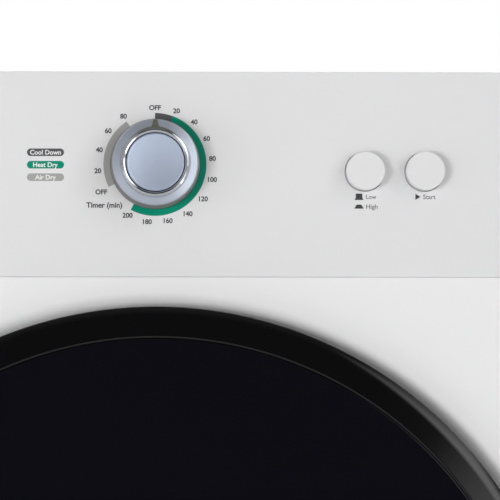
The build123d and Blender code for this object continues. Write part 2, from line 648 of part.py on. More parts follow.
# ---------------------------------------------------------------- drive
def grooved_pulley(belt_r, bore, y0, y1, groove_y, groove_w, x, z):
    """A pulley whose groove carries a flat belt at belt_r."""
    flange = belt_r + 3
    g0, g1 = groove_y - 0.2, groove_y + groove_w + 0.2
    outline = [(bore, y0), (flange, y0), (flange, g0), (belt_r, g0), (belt_r, g1), (flange, g1), (flange, y1),
               (bore, y1)]
    return turned_y(outline, x, z)


def belt_loop(x0, z0, r0, x1, z1, r1, thick, y0, y1):
    """A belt round two pulleys, BELT_GAP clear of each."""
    loop = []
    for grow in (thick, 0):
        first = Pos(x0, z0) * Circle(r0 + BELT_GAP + grow)
        second = Pos(x1, z1) * Circle(r1 + BELT_GAP + grow)
        loop.append(make_hull(first.edges() + second.edges()))
    return xz_prism(loop[0] - loop[1], y0, y1)


def drum_belt():
    return belt_loop(0, AXIS_Z, DRUM_R, MOTOR_X, MOTOR_Z, DRIVE_R, DRUM_BELT_T, DRUM_BELT_Y,
                     DRUM_BELT_Y + DRUM_BELT_W)


def fan_belt():
    return belt_loop(0, AXIS_Z, FAN_PULLEY_R, MOTOR_X, MOTOR_Z, FAN_DRIVE_R, FAN_BELT_T, FAN_BELT_Y,
                     FAN_BELT_Y + FAN_BELT_W)


def motor_housing():
    """Motor case with the stator round the rotor's bore, and plain bearings at both ends."""
    bore = MOTOR_SHAFT_R + RUNNING
    outline = [(bore, 0), (44, 0), (MOTOR_R, 8), (MOTOR_R, 102), (44, 110), (bore, 110), (bore, 92), (29, 92),
               (29, 18), (bore, 18)]
    return turned_y(outline, MOTOR_X, MOTOR_Z)


def motor_rotor():
    """Rotor core, shaft and the small drum pulley cut on the shaft's front end."""
    g0, g1 = DRUM_BELT_Y - 0.3, DRUM_BELT_Y + DRUM_BELT_W + 0.3
    s, d = MOTOR_SHAFT_R, DRIVE_R
    outline = [(0, -39), (d + 3, -39), (d + 3, g0), (d, g0), (d, g1), (d + 3, g1), (d + 3, -21), (s, -21),
               (s, 20), (28, 20), (28, 90), (s, 90), (s, 213), (0, 213)]
    return turned_y(outline, MOTOR_X, MOTOR_Z)


def fan_drive_pulley():
    return grooved_pulley(FAN_DRIVE_R, MOTOR_SHAFT_R + PRESS_FIT, *FAN_PULLEY_Y, FAN_BELT_Y, FAN_BELT_W,
                          MOTOR_X, MOTOR_Z)


def motor_bracket():
    """Cradle for the motor, with the stud that the idler arm swings on."""
    floor = BASE_Z + SHEET + TOUCH
    bracket = block(186, 292, 4, 106, floor, floor + 2)
    for y in (4, 104):
        bracket = bracket + block(186, 292, y, y + 2, floor, 66)
    bracket = bracket - rod_y(MOTOR_R + TOUCH, 0, 110, MOTOR_X, MOTOR_Z)
    px, pz = IDLER_PIVOT
    return bracket + rod_y(4, -21, 6, px, pz)


def idler_centre():
    """Where the idler runs under the lower span of the drum belt."""
    dx, dz = MOTOR_X, MOTOR_Z - AXIS_Z
    span = hypot(dx, dz)
    lean = asin((DRUM_R - DRIVE_R) / span)
    ux, uz = dx / span, dz / span
    mx = sin(lean) * ux + cos(lean) * uz
    mz = sin(lean) * uz - cos(lean) * ux
    off = DRUM_R + 2 * BELT_GAP + DRUM_BELT_T + IDLER_R
    return mx * off - mz * IDLER_ALONG, AXIS_Z + mz * off + mx * IDLER_ALONG


def idler_arm():
    (px, pz), (ix, iz) = IDLER_PIVOT, idler_centre()
    ends = Pos(px, pz) * Circle(8) + Pos(ix, iz) * Circle(6)
    arm = xz_prism(make_hull(ends.edges()), -19, -16)
    arm = arm - rod_y(4 + RUNNING, -30, 0, px, pz)
    return arm + rod_y(3, -39, -16, ix, iz)


def idler_pulley():
    return tube_y(IDLER_R, 3 + RUNNING, DRUM_BELT_Y - 1, DRUM_BELT_Y + DRUM_BELT_W + 2, *idler_centre())


def fan_wheel():
    """Radial blower wheel with straight blades between a back plate and a shroud ring."""
    wheel = rod_y(108, 190, 192) + rod_y(11, 161, 202.8) + tube_y(108, 90, 156.5, 158.5)
    blade = block(62, 107, 157, 191, AXIS_Z - 0.9, AXIS_Z + 0.9)
    for k in range(24):
        wheel = wheel + Pos(0, 0, AXIS_Z) * Rot(0, 15 * k, 0) * Pos(0, 0, -AXIS_Z) * blade
    return wheel - rod_y(FAN_AXLE_R + RUNNING, 150, 210)


def fan_pulley():
    bore = FAN_AXLE_R + RUNNING
    return grooved_pulley(FAN_PULLEY_R, bore, *FAN_PULLEY_Y, FAN_BELT_Y, FAN_BELT_W, 0, AXIS_Z)


def run_capacitor():
    can = rod_z(19, BASE_Z + SHEET + TOUCH, 92, 262, -115)
    return can + rod_z(3, 91, 100, 256, -115) + rod_z(3, 91, 100, 268, -115)


# ---------------------------------------------------------------- wiring
def terminal_block():
    block_body = block(-296, -264, 180, 212, 104, 134)
    for x in (-290, -280, -270):
        block_body = block_body - rod_z(2, 128, 135, x, 206)
    return block_body


def wire_harness():
    """Bundle of wires from the timer, along the left side, down to the terminal block."""
    route = [(-28.2, -180, 640), (-110, -180, 641), (-240, -170, 648), (-286, -110, 652), (-287, 20, 653),
             (-286, 120, 652), (-285, 190, 648), (-284, 194, 560), (-283, 192, 300), (-282, 192, 134.2)]
    line = FilletPolyline(*route, radius=24)
    start = Plane(origin=line @ 0, z_dir=line % 0)
    return sweep(start * Circle(5), path=line)


# ---------------------------------------------------------------- writing the nodes
NODES = {
    "base_pan": base_pan,
    "left_side_panel": lambda: side_panel(-1),
    "right_side_panel": lambda: side_panel(1),
    "top_panel": top_panel,
    "rear_panel": rear_panel,
    "rear_access_cover": rear_access_cover,
    "front_panel": front_panel,
    "control_panel": control_panel,
    "cord_gland": cord_gland,
    "cabinet_screws": cabinet_screws,
    "front_left_foot": lambda: front_foot(-FOOT_X),
    "front_right_foot": lambda: front_foot(FOOT_X),
    "rear_feet": rear_feet,
    "timer_body": timer_body,
    "timer_shaft": timer_shaft,
    "timer_knob_skirt": knob_skirt,
    "timer_knob_cap": knob_cap,
    "heat_button": lambda: push_button(HEAT_BUTTON_X),
    "start_button": lambda: push_button(START_BUTTON_X),
    "heat_switch": lambda: panel_switch(HEAT_BUTTON_X),
    "start_switch": lambda: panel_switch(START_BUTTON_X),
    "door_outer_ring": door_ring,
    "door_window": door_window,
    "door_inner_frame": door_inner_frame,
    "door_inner_bowl": door_inner_bowl,
    "door_seal": door_seal,
    "door_hinge_leaf": door_hinge_leaf,
    "door_latch_hook": door_latch_hook,
    "door_screws": door_screws,
    "hinge_bracket": hinge_bracket,
    "latch_catch": latch_catch,
    "door_switch": door_switch,
    "front_bulkhead": front_bulkhead,
    "front_felt_seal": front_felt_seal,
    "rear_bulkhead": rear_bulkhead,
    "rear_felt_seal": rear_felt_seal,
    "main_shaft": main_shaft,
    "fan_housing": fan_housing,
    "fan_housing_cover": fan_housing_cover,
    "heater_housing": heater_housing,
    "heater_core": heater_core,
    "drum_shell": drum_shell,
    "drum_back": drum_back,
    "drum_hub": drum_hub,
    "drum_baffles": drum_baffles,
    "lint_filter_frame": lint_filter_frame,
    "lint_filter_mesh": lint_filter_mesh,
    "drum_belt": drum_belt,
    "fan_belt": fan_belt,
    "motor_housing": motor_housing,
    "motor_rotor": motor_rotor,
    "fan_drive_pulley": fan_drive_pulley,
    "motor_bracket": motor_bracket,
    "idler_arm": idler_arm,
    "idler_pulley": idler_pulley,
    "fan_wheel": fan_wheel,
    "fan_pulley": fan_pulley,
    "run_capacitor": run_capacitor,
    "terminal_block": terminal_block,
    "wire_harness": wire_harness,
}

os.makedirs("parts", exist_ok=True)
for node, build_piece in NODES.items():
    save(node, build_piece())
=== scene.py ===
import bpy
import bmesh
import numpy as np
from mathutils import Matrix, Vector


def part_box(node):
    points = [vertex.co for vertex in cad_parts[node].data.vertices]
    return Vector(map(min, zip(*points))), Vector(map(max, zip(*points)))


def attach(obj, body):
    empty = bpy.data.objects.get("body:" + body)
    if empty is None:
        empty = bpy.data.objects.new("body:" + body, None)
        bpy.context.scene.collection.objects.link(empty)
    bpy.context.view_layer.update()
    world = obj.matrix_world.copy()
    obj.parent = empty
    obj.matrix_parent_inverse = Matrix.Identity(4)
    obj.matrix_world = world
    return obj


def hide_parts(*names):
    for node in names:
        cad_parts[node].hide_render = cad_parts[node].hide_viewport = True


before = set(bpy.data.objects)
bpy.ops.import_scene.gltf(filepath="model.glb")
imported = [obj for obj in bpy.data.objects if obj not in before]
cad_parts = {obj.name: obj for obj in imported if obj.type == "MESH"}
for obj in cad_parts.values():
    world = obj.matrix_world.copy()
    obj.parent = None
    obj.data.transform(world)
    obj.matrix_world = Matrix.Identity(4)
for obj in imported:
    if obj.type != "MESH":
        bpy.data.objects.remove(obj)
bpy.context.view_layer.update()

# -------------------------------------------------- studio
# A pale floor under the dryer, a room that the camera sees as plain white, and six area lights. What the room
# gives to reflections is dark straight ahead, so that gloss black stays black, and brightest at the right.
# Four lights only fill shade, the one behind also shines on metal, and a low strip is only a reflection.
MM = 0.001
FRONT_Y = -215 * MM
VIEW_CENTRE = Vector((53.3 * MM, FRONT_Y, 578.8 * MM))
VIEW_WIDTH = 283.4 * MM
EYE = Vector((-25 * MM, FRONT_Y - 2500 * MM, 487 * MM))
SENSOR = 36.0

camera_data = bpy.data.cameras.new("camera")
camera_data.sensor_width = SENSOR
camera_data.lens = SENSOR * (VIEW_CENTRE - EYE).length / VIEW_WIDTH
camera_data.clip_end = 50
camera = bpy.data.objects.new("camera", camera_data)
camera.location = EYE
camera.rotation_euler = (VIEW_CENTRE - EYE).to_track_quat("-Z", "Y").to_euler()
bpy.context.scene.collection.objects.link(camera)
bpy.context.scene.camera = camera
bpy.context.scene.view_settings.view_transform = "Standard"


def srgb(code):
    """Linear RGBA of an sRGB hex colour: each part to the power law of the standard."""
    parts = np.array([int(code[i:i + 2], 16) for i in (0, 2, 4)]) / 255
    linear = np.where(parts <= 0.04045, parts / 12.92, ((parts + 0.055) / 1.055) ** 2.4)
    return (*linear.tolist(), 1.0)


def add(tree, kind, links=None, **settings):
    """Adds a node: settings are its properties, and links sets its inputs to values or to other sockets."""
    made = tree.nodes.new(kind)
    for key, value in settings.items():
        setattr(made, key, value)
    for key, value in (links or {}).items():
        if isinstance(value, bpy.types.NodeSocket):
            tree.links.new(value, made.inputs[key])
        else:
            made.inputs[key].default_value = value
    return made


def mesh_piece(name, points, faces, body, material, smooth=True):
    """A mesh object from points (N, 3) in metres and faces, riding on a body."""
    mesh = bpy.data.meshes.new(name)
    mesh.from_pydata(points.tolist(), [], faces)
    work = bmesh.new()
    work.from_mesh(mesh)
    bmesh.ops.remove_doubles(work, verts=work.verts, dist=2e-6)
    bmesh.ops.dissolve_degenerate(work, edges=work.edges, dist=1e-7)
    bmesh.ops.recalc_face_normals(work, faces=work.faces)
    work.to_mesh(mesh)
    work.free()
    mesh.polygons.foreach_set("use_smooth", np.full(len(mesh.polygons), smooth))
    piece = bpy.data.objects.new(name, mesh)
    bpy.context.scene.collection.objects.link(piece)
    mesh.materials.append(material)
    if body:
        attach(piece, body)
    return piece


def soft_box(name, place, target, size, power, mirrored=True, lights_up=True):
    """A square white area light that looks from place to target.

    Unless mirrored, no polished surface reflects it; unless lights_up, it is only seen in reflections."""
    data = bpy.data.lights.new(name, "AREA")
    data.shape, data.size, data.energy = "SQUARE", size, power
    light = bpy.data.objects.new(name, data)
    light.location = place
    light.rotation_euler = (Vector(target) - Vector(place)).to_track_quat("-Z", "Y").to_euler()
    light.visible_camera = False
    light.visible_glossy = mirrored
    light.visible_diffuse = lights_up
    bpy.context.scene.collection.objects.link(light)


world = bpy.data.worlds.new("white_room")
world.use_nodes = True
room = world.node_tree
room.nodes.clear()
towards = add(room, "ShaderNodeTexCoord")
split = add(room, "ShaderNodeSeparateXYZ", {0: towards.outputs["Generated"]})


def ramp(axis, start, end, level):
    """A light level that grows from 0 to level as the ray's direction goes from start to end along an axis."""
    return add(room, "ShaderNodeMapRange", {"Value": split.outputs[axis], "From Min": start, "From Max": end,
                                            "To Min": 0.0, "To Max": level}).outputs[0]


def combined(operation, levels):
    """One level from several, with a Math node's MINIMUM or MAXIMUM."""
    total = levels[0]
    for level in levels[1:]:
        total = add(room, "ShaderNodeMath", {0: total, 1: level}, operation=operation).outputs[0]
    return total


WINDOW_LEVEL, WALL_LEVEL, CEILING_LEVEL, BACK_LEVEL, DARKEST = 2.6, 0.4, 0.2, 0.6, 0.05
right_window = combined("MINIMUM", [ramp("X", 0.40, 0.56, WINDOW_LEVEL), ramp("X", 0.85, 0.7, WINDOW_LEVEL),
                                    ramp("Z", 0.8, 0.45, WINDOW_LEVEL), ramp("Z", -0.8, -0.45, WINDOW_LEVEL)])
left_wall = combined("MINIMUM", [ramp("X", -0.25, -0.55, WALL_LEVEL), ramp("X", -0.97, -0.8, WALL_LEVEL),
                                 ramp("Z", -0.5, 0.1, WALL_LEVEL)])
level = combined("MAXIMUM", [right_window, left_wall, ramp("Z", 0.6, 0.95, CEILING_LEVEL),
                             ramp("Y", -0.1, 0.4, BACK_LEVEL), DARKEST])
tone = add(room, "ShaderNodeCombineColor", {0: level, 1: level, 2: level})
seen = add(room, "ShaderNodeLightPath")
shown = add(room, "ShaderNodeMix", {0: seen.outputs["Is Camera Ray"], 6: tone.outputs[0], 7: (1, 1, 1, 1)},
            data_type="RGBA")
glow = add(room, "ShaderNodeBackground", {"Color": shown.outputs[2], "Strength": 1.0})
add(room, "ShaderNodeOutputWorld", {"Surface": glow.outputs[0]})
bpy.context.scene.world = world

soft_box("left_box", (-2.9, -2.0, 0.4), (0, -0.2, 0.5), 1.5, 14, mirrored=False)
soft_box("front_left_fill", (-1.45, -3.7, 0.25), (0, -0.2, 0.58), 1.0, 67, mirrored=False)
soft_box("front_right_fill", (1.2, -3.5, 0.45), (0, -0.2, 0.58), 1.2, 14, mirrored=False)
soft_box("top_box", (-0.2, -1.5, 2.9), (0, -0.1, 0.4), 1.4, 4, mirrored=False)
soft_box("rear_box", (-0.8, 3.0, 2.2), (0, 0.2, 0.3), 2.0, 28)
soft_box("right_low_strip", (0.68, -1.12, 0.27), (0, -0.2, 0.63), 0.42, 1.3, lights_up=False)

floor_paper = bpy.data.materials.new("pale floor paper")
floor_paper.use_nodes = True
tree = floor_paper.node_tree
place = add(tree, "ShaderNodeTexCoord").outputs["Object"]
grain = add(tree, "ShaderNodeTexNoise", {"Vector": place, "Scale": 60.0})
shade = add(tree, "ShaderNodeMix", {0: grain.outputs[0], 6: srgb("e9e9ea"), 7: srgb("eeeeee")},
            data_type="RGBA")
tree.links.new(shade.outputs[2], tree.nodes["Principled BSDF"].inputs["Base Color"])
tree.nodes["Principled BSDF"].inputs["Roughness"].default_value = 0.7
FLOOR_REACH = 20.0
floor_corners = FLOOR_REACH * np.array([[-1, -1, 0], [1, -1, 0], [1, 1, 0], [-1, 1, 0]], float)
floor = mesh_piece("floor", floor_corners, [(0, 1, 2, 3)], None, floor_paper, smooth=False)

# -------------------------------------------------- front panel
# One sheet of 1 mm steel, deep drawn: a flat face with rolled edges, and a round recess whose lip rolls in
# behind the door. Sprayed and baked white enamel, so a faint orange peel breaks up the room's reflection.
door_low, door_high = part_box("door_window")
AXIS_Z = (door_low.z + door_high.z) / 2
panel_low, panel_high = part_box("front_panel")
SHEET = 1.0 * MM
RECESS_R = 243.0 * MM
RECESS_ROLL = 11.5 * MM
RECESS_TURN = 75.0
RECESS_Y = -201 * MM
OPENING_R = 185 * MM
EDGE_ROLL = 0.35 * MM
SEAM_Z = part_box("control_panel")[0].z - 0.1 * MM


def surface(name, roughness, **sockets):
    """A material, its tree and its Principled shader, which has its uniform values set."""
    made = bpy.data.materials.new(name)
    made.use_nodes = True
    shader = made.node_tree.nodes["Principled BSDF"]
    shader.inputs["Roughness"].default_value = roughness
    for key, value in sockets.items():
        shader.inputs[key.replace("_", " ")].default_value = value
    return made, made.node_tree, shader


def mottled(tree, shader, low, high, scale, detail=2.0):
    """Base colour that wanders between two close tones, as sprayed or moulded surfaces do."""
    place = add(tree, "ShaderNodeTexCoord").outputs["Object"]
    cloud = add(tree, "ShaderNodeTexNoise", {"Vector": place, "Scale": scale, "Detail": detail})
    blend = add(tree, "ShaderNodeMix", {0: cloud.outputs[0], 6: srgb(low), 7: srgb(high)}, data_type="RGBA")
    tree.links.new(blend.outputs[2], shader.inputs["Base Color"])
    return place


def grained(tree, shader, place, scale, height, strength=1.0, detail=2.0):
    """A fine bump of the given height in metres, 1/scale metres across."""
    cloud = add(tree, "ShaderNodeTexNoise", {"Vector": place, "Scale": scale, "Detail": detail})
    bump = add(tree, "ShaderNodeBump", {"Height": cloud.outputs[0], "Distance": height, "Strength": strength})
    tree.links.new(bump.outputs[0], shader.inputs["Normal"])


def toned(name, roughness, low, high, tone_scale, grain_scale, height, strength=0.5, detail=2.0, **sockets):
    """The common kind of material: two close tones that drift into each other, and a fine even bump."""
    made, tree, shader = surface(name, roughness, **sockets)
    place = mottled(tree, shader, low, high, tone_scale, detail)
    grained(tree, shader, place, grain_scale, height, strength, detail)
    return made


def box_loop(x0, x1, z0, z1, steps_x, steps_z, fan):
    """Points round a rectangle and the outward direction at each.

    Each side has evenly spaced points; each corner is repeated, with its direction turned in equal steps
    through a right angle, so that a roll carried along the loop is round at the corners."""
    xs, zs = np.linspace(x0, x1, steps_x + 1), np.linspace(z0, z1, steps_z + 1)
    corners = [(x1, z0), (x1, z1), (x0, z1), (x0, z0)]
    sides = [
        (np.column_stack([xs, np.full_like(xs, z0)])[1:-1], (0, -1)),
        (np.column_stack([np.full_like(zs, x1), zs])[1:-1], (1, 0)),
        (np.column_stack([xs[::-1], np.full_like(xs, z1)])[1:-1], (0, 1)),
        (np.column_stack([np.full_like(zs, x0), zs[::-1]])[1:-1], (-1, 0)),
    ]
    points, ways = [], []
    for k, ((side, way), corner) in enumerate(zip(sides, corners)):
        turn = np.radians(-90 + 90 * k + np.linspace(0, 90, fan))
        points += [side, np.tile(corner, (fan, 1))]
        ways += [np.tile(way, (len(side), 1)), np.column_stack([np.cos(turn), np.sin(turn)])]
    return np.vstack(points), np.vstack(ways)


def rings_to_mesh(rings, closed_rings=False):
    """Quads between neighbouring rings of one (M, N, 3) array; each ring is a closed loop."""
    m, n, _ = rings.shape
    i, j = np.meshgrid(np.arange(m if closed_rings else m - 1), np.arange(n), indexing="ij")
    up, right = (i + 1) % m, (j + 1) % n
    quads = np.stack([i * n + j, i * n + right, up * n + right, up * n + j], axis=-1)
    return rings.reshape(-1, 3), quads.reshape(-1, 4).tolist()


def rolled_edge(points, ways, radius, y_face, y_back, steps=7):
    """Rings that carry a flat outline round a roll of the given radius and straight back.

    At angle t the roll stands radius * sin t out along each point's way and radius * (1 - cos t) behind
    the face."""
    turn = np.radians(np.linspace(0, 90, steps))
    out = radius * np.sin(turn)[:, None, None] * ways
    flat = points[None] + out
    depth = np.broadcast_to((y_face + radius * (1 - np.cos(turn)))[:, None], flat.shape[:2])
    rings = np.stack([flat[..., 0], depth, flat[..., 1]], axis=-1)
    back = rings[-1:].copy()
    back[..., 1] = y_back
    return np.concatenate([rings, back])


def loop_at(points, y):
    """One ring at a constant depth from (x, z) points."""
    return np.stack([points[:, 0], np.full(len(points), y), points[:, 1]], axis=-1)[None]


def arc(radius, centre_r, centre_y, start, end, steps):
    """(radius, y) points on an arc: centre plus radius times (cos t, sin t)."""
    turn = np.radians(np.linspace(start, end, steps))
    return np.column_stack([centre_r + radius * np.cos(turn), centre_y + radius * np.sin(turn)])


def swept(centre, unit, profile):
    """Rings round a centre: each (radius, y) point of the profile is carried along every unit direction."""
    flat = centre + unit[None] * profile[:, 0][:, None, None]
    depth = np.broadcast_to(profile[:, 1][:, None], flat.shape[:2])
    return np.stack([flat[..., 0], depth, flat[..., 1]], axis=-1)


def front_panel_rings():
    """From the back edge of the sides, over the rolled edge, across the flat face and down into the recess.

    Ring k of the face lies on straight lines between the outline and the circle where the lip starts, and each
    ring of the lip is that circle shrunk to the recess profile's radius at the profile's depth."""
    x1, z0, z1 = panel_high.x - EDGE_ROLL, panel_low.z + EDGE_ROLL, SEAM_Z - EDGE_ROLL
    outline, ways = box_loop(-x1, x1, z0, z1, 110, 100, 8)
    sides = rolled_edge(outline, ways, EDGE_ROLL, FRONT_Y, panel_high.y)[::-1]
    centre = np.array([0, AXIS_Z])
    spoke = outline - centre
    unit = spoke / np.linalg.norm(spoke, axis=1, keepdims=True)
    circle = centre + unit * RECESS_R
    shares = np.array([0.004, 0.05, 0.35, 0.7, 0.95, 0.995])
    face = np.concatenate([loop_at(outline + (circle - outline) * s, FRONT_Y) for s in shares])
    turn = np.radians(RECESS_TURN)
    apart = (RECESS_Y - FRONT_Y) / (1 - np.cos(turn))
    lip = arc(RECESS_ROLL, RECESS_R, FRONT_Y + RECESS_ROLL, -90, -90 - RECESS_TURN, 25)
    toe = arc(apart - RECESS_ROLL, RECESS_R - apart * np.sin(turn),
              FRONT_Y + RECESS_ROLL - apart * np.cos(turn), 90 - RECESS_TURN, 90, 8)
    collar = arc(3 * MM, OPENING_R + 3 * MM, RECESS_Y + 3 * MM, -90, -180, 7)
    end = np.array([[OPENING_R, panel_high.y]])
    support = np.array([[OPENING_R + 38 * MM, RECESS_Y], [OPENING_R + 8 * MM, RECESS_Y]])
    profile = np.vstack([lip, toe, support, collar, end])
    return np.concatenate([sides, face, swept(centre, unit, profile)])


# Baked white enamel: orange peel about 2 mm across under a clear gloss.
white_enamel = toned("sprayed white enamel on steel", 0.32, "efeff0", "f2f2f3", 9.0, 520.0, 0.00002,
                     Coat_Weight=0.25, Coat_Roughness=0.12)
front_panel = mesh_piece("front_panel_sheet", *rings_to_mesh(front_panel_rings()), "cabinet", white_enamel)


def thicken(piece, thickness, even=True):
    """Gives an open skin its wall, behind its outer face. A flat skin needs no even offset at its corners."""
    wall = piece.modifiers.new("wall", "SOLIDIFY")
    wall.thickness, wall.offset, wall.use_even_offset = thickness, -1, even


def face_out(piece, point, way):
    """Turns a skin's faces so that the one nearest to point looks along way."""
    centres = np.array([p.center for p in piece.data.polygons])
    nearest = int(np.argmin(np.linalg.norm(centres - np.array(point), axis=1)))
    if piece.data.polygons[nearest].normal.dot(Vector(way)) < 0:
        piece.data.flip_normals()


def cut_out(piece, boxes, material):
    """Takes boxes, given by their lowest and highest corners, out of a piece, after its modifiers."""
    for low, high in boxes:
        corners = np.array(np.meshgrid(*zip(low, high), indexing="ij")).reshape(3, -1).T
        sides = [(0, 1, 3, 2), (4, 6, 7, 5), (0, 4, 5, 1), (2, 3, 7, 6), (0, 2, 6, 4), (1, 5, 7, 3)]
        cutter = mesh_piece("cutter", corners, sides, None, material, smooth=False)
        cut = piece.modifiers.new("cut", "BOOLEAN")
        cut.operation, cut.object, cut.solver = "DIFFERENCE", cutter, "EXACT"
        shaped = bpy.data.meshes.new_from_object(piece.evaluated_get(bpy.context.evaluated_depsgraph_get()))
        piece.modifiers.clear()
        piece.data = shaped
        bpy.data.objects.remove(cutter)


LATCH_X = 197 * MM
HINGE_ARM_Z = (AXIS_Z - 25 * MM, AXIS_Z + 25 * MM)
HINGE_SLOT_HALF = 2.2 * MM
SLOT_Y = (RECESS_Y - 1 * MM, RECESS_Y + 2 * MM)
face_out(front_panel, (0.28, FRONT_Y, 0.5), (0, -1, 0))
thicken(front_panel, SHEET)
hinge_slots = [((-0.223, SLOT_Y[0], z - HINGE_SLOT_HALF), (-0.203, SLOT_Y[1], z + HINGE_SLOT_HALF))
               for z in HINGE_ARM_Z]
latch_slot = ((LATCH_X - 6 * MM, SLOT_Y[0], AXIS_Z - 9 * MM), (LATCH_X + 9 * MM, SLOT_Y[1], AXIS_Z + 9 * MM))
cut_out(front_panel, [*hinge_slots, latch_slot], white_enamel)
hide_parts("front_panel")

# -------------------------------------------------- control panel
# A shallow moulding in white ABS with a fine spark-eroded texture, which scatters light and leaves it a shade
# duller than the enamel below. Round holes take the timer's shaft and the two push buttons.
fascia_low, fascia_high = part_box("control_panel")
FASCIA_WALL = 2.5 * MM
KNOB = (-0.6 * MM, 627.3 * MM)
HEAT_BUTTON = (118.5 * MM, 623.4 * MM)
START_BUTTON = (152.5 * MM, 623.4 * MM)
GUIDE_R = 11.3 * MM
SHAFT_HOLE_R = 5 * MM
HOLE_LIP = 0.4 * MM


def hole_cell(x0, x1, z0, z1, hole, radius, steps_x, steps_z):
    """A rectangle of the face with one round hole.

    Ring k lies on straight lines from the rectangle to the hole, and a small roll turns into its wall."""
    outline, _ = box_loop(x0, x1, z0, z1, steps_x, steps_z, 1)
    centre = np.array(hole)
    spoke = outline - centre
    unit = spoke / np.linalg.norm(spoke, axis=1, keepdims=True)
    rim = centre + unit * (radius + HOLE_LIP)
    shares = np.array([0.0, 0.3, 0.7, 0.93, 0.99])
    face = np.concatenate([loop_at(outline + (rim - outline) * s, FRONT_Y) for s in shares])
    profile = np.vstack([arc(HOLE_LIP, radius + HOLE_LIP, FRONT_Y + HOLE_LIP, -90, -180, 5),
                         [[radius, FRONT_Y + FASCIA_WALL]]])
    return rings_to_mesh(np.concatenate([face, swept(centre, unit, profile)]))


def join_parts(parts):
    """One list of points and faces from several."""
    points, faces, base = [], [], 0
    for part_points, part_faces in parts:
        points.append(part_points)
        faces += [[k + base for k in face] for face in part_faces]
        base += len(part_points)
    return np.vstack(points), faces


def fascia_parts():
    """Three cells side by side, one to a hole, and the rolled rim round them all."""
    x0, x1 = fascia_low.x + EDGE_ROLL, fascia_high.x - EDGE_ROLL
    z0, z1 = fascia_low.z + EDGE_ROLL, fascia_high.z - EDGE_ROLL
    left, middle = HEAT_BUTTON[0] - 30 * MM, (HEAT_BUTTON[0] + START_BUTTON[0]) / 2
    rows = 40
    strips = [(x0, left, KNOB, SHAFT_HOLE_R, 80), (left, middle, HEAT_BUTTON, GUIDE_R, 30),
              (middle, x1, START_BUTTON, GUIDE_R, 60)]
    cells = [hole_cell(a, b, z0, z1, hole, radius, steps, rows) for a, b, hole, radius, steps in strips]
    spans = [np.linspace(a, b, steps + 1) for a, b, _, _, steps in strips]
    xs = np.unique(np.round(np.concatenate(spans), 9))
    zs = np.linspace(z0, z1, rows + 1)
    fan = np.radians(np.linspace(0, 90, 8))
    points, ways = [], []
    runs = [(np.column_stack([xs, np.full_like(xs, z0)]), (0, -1), -90, (x1, z0)),
            (np.column_stack([np.full_like(zs, x1), zs]), (1, 0), 0, (x1, z1)),
            (np.column_stack([xs[::-1], np.full_like(xs, z1)]), (0, 1), 90, (x0, z1)),
            (np.column_stack([np.full_like(zs, x0), zs[::-1]]), (-1, 0), 180, (x0, z0))]
    for run, way, start, corner in runs:
        turn = np.radians(start) + fan
        points += [run[1:-1], np.tile(corner, (len(fan), 1))]
        ways += [np.tile(way, (len(run) - 2, 1)), np.column_stack([np.cos(turn), np.sin(turn)])]
    rim = rolled_edge(np.vstack(points), np.vstack(ways), EDGE_ROLL, FRONT_Y, fascia_high.y)
    return join_parts(cells + [rings_to_mesh(rim)])


# Moulded white ABS: a texture of 0.3 mm grains, satin.
white_abs = toned("moulded white ABS", 0.45, "e2e2e3", "e5e5e6", 7.0, 2600.0, 0.00001, 0.35)
fascia = mesh_piece("control_panel_moulding", *fascia_parts(), "cabinet", white_abs)
face_out(fascia, (-0.2, FRONT_Y, 0.62), (0, -1, 0))
thicken(fascia, FASCIA_WALL)
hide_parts("control_panel")

# -------------------------------------------------- door ring and window
# The rim is gloss black ABS: a rolled shoulder, a band that leans back outwards, and a step down to the window.
# The window is a domed disc of smoked glass, bonded to a ledge behind the step; its solid near-black is the
# tint together with painted shade for the unlit drum behind it.
DOOR_CENTRE = (0.0, AXIS_Z)


def braced(profile, closed, gap=0.15 * MM):
    """Adds a point close to each end of every long straight run, so that shading stays flat along it."""
    ends = np.vstack([profile, profile[:1]]) if closed else profile
    out = []
    for a, b in zip(ends[:-1], ends[1:]):
        span = np.linalg.norm(b - a)
        out.append(a)
        if span > 4 * gap:
            out += [a + (b - a) * gap / span, b - (b - a) * gap / span]
    return np.array(out if closed else out + [ends[-1]])


def turned(name, profile, centre, body, material, steps=360, closed=True):
    """A surface of revolution about Y: each (radius, y) point of the profile becomes a circle."""
    profile = braced(np.asarray(profile, float), closed)
    turn = np.linspace(0, 2 * np.pi, steps, endpoint=False)
    rings = np.stack([
        centre[0] + profile[:, :1] * np.cos(turn),
        np.broadcast_to(profile[:, 1:], (len(profile), steps)),
        centre[1] + profile[:, :1] * np.sin(turn),
    ], axis=-1)
    return mesh_piece(name, *rings_to_mesh(rings, closed), body, material)


def softened(corners, radius, steps=5):
    """A closed outline of (radius, y) corners with each corner rounded by a quadratic curve through its sides.

    radius is one number or one for each corner; 0 leaves a corner sharp."""
    corners = np.asarray(corners, float)
    size = np.broadcast_to(np.asarray(radius, float), len(corners))
    before, after = np.roll(corners, 1, axis=0), np.roll(corners, -1, axis=0)
    t = np.linspace(0, 1, steps)[:, None]
    out = []
    for point, left, right, r in zip(corners, before, after, size):
        span_l, span_r = np.linalg.norm(left - point), np.linalg.norm(right - point)
        cut = min(r, 0.45 * span_l, 0.45 * span_r)
        a, b = point + (left - point) / span_l * cut, point + (right - point) / span_r * cut
        out.append((1 - t) ** 2 * a + 2 * t * (1 - t) * point + t ** 2 * b if r > 0 else point[None])
    return np.vstack(out)


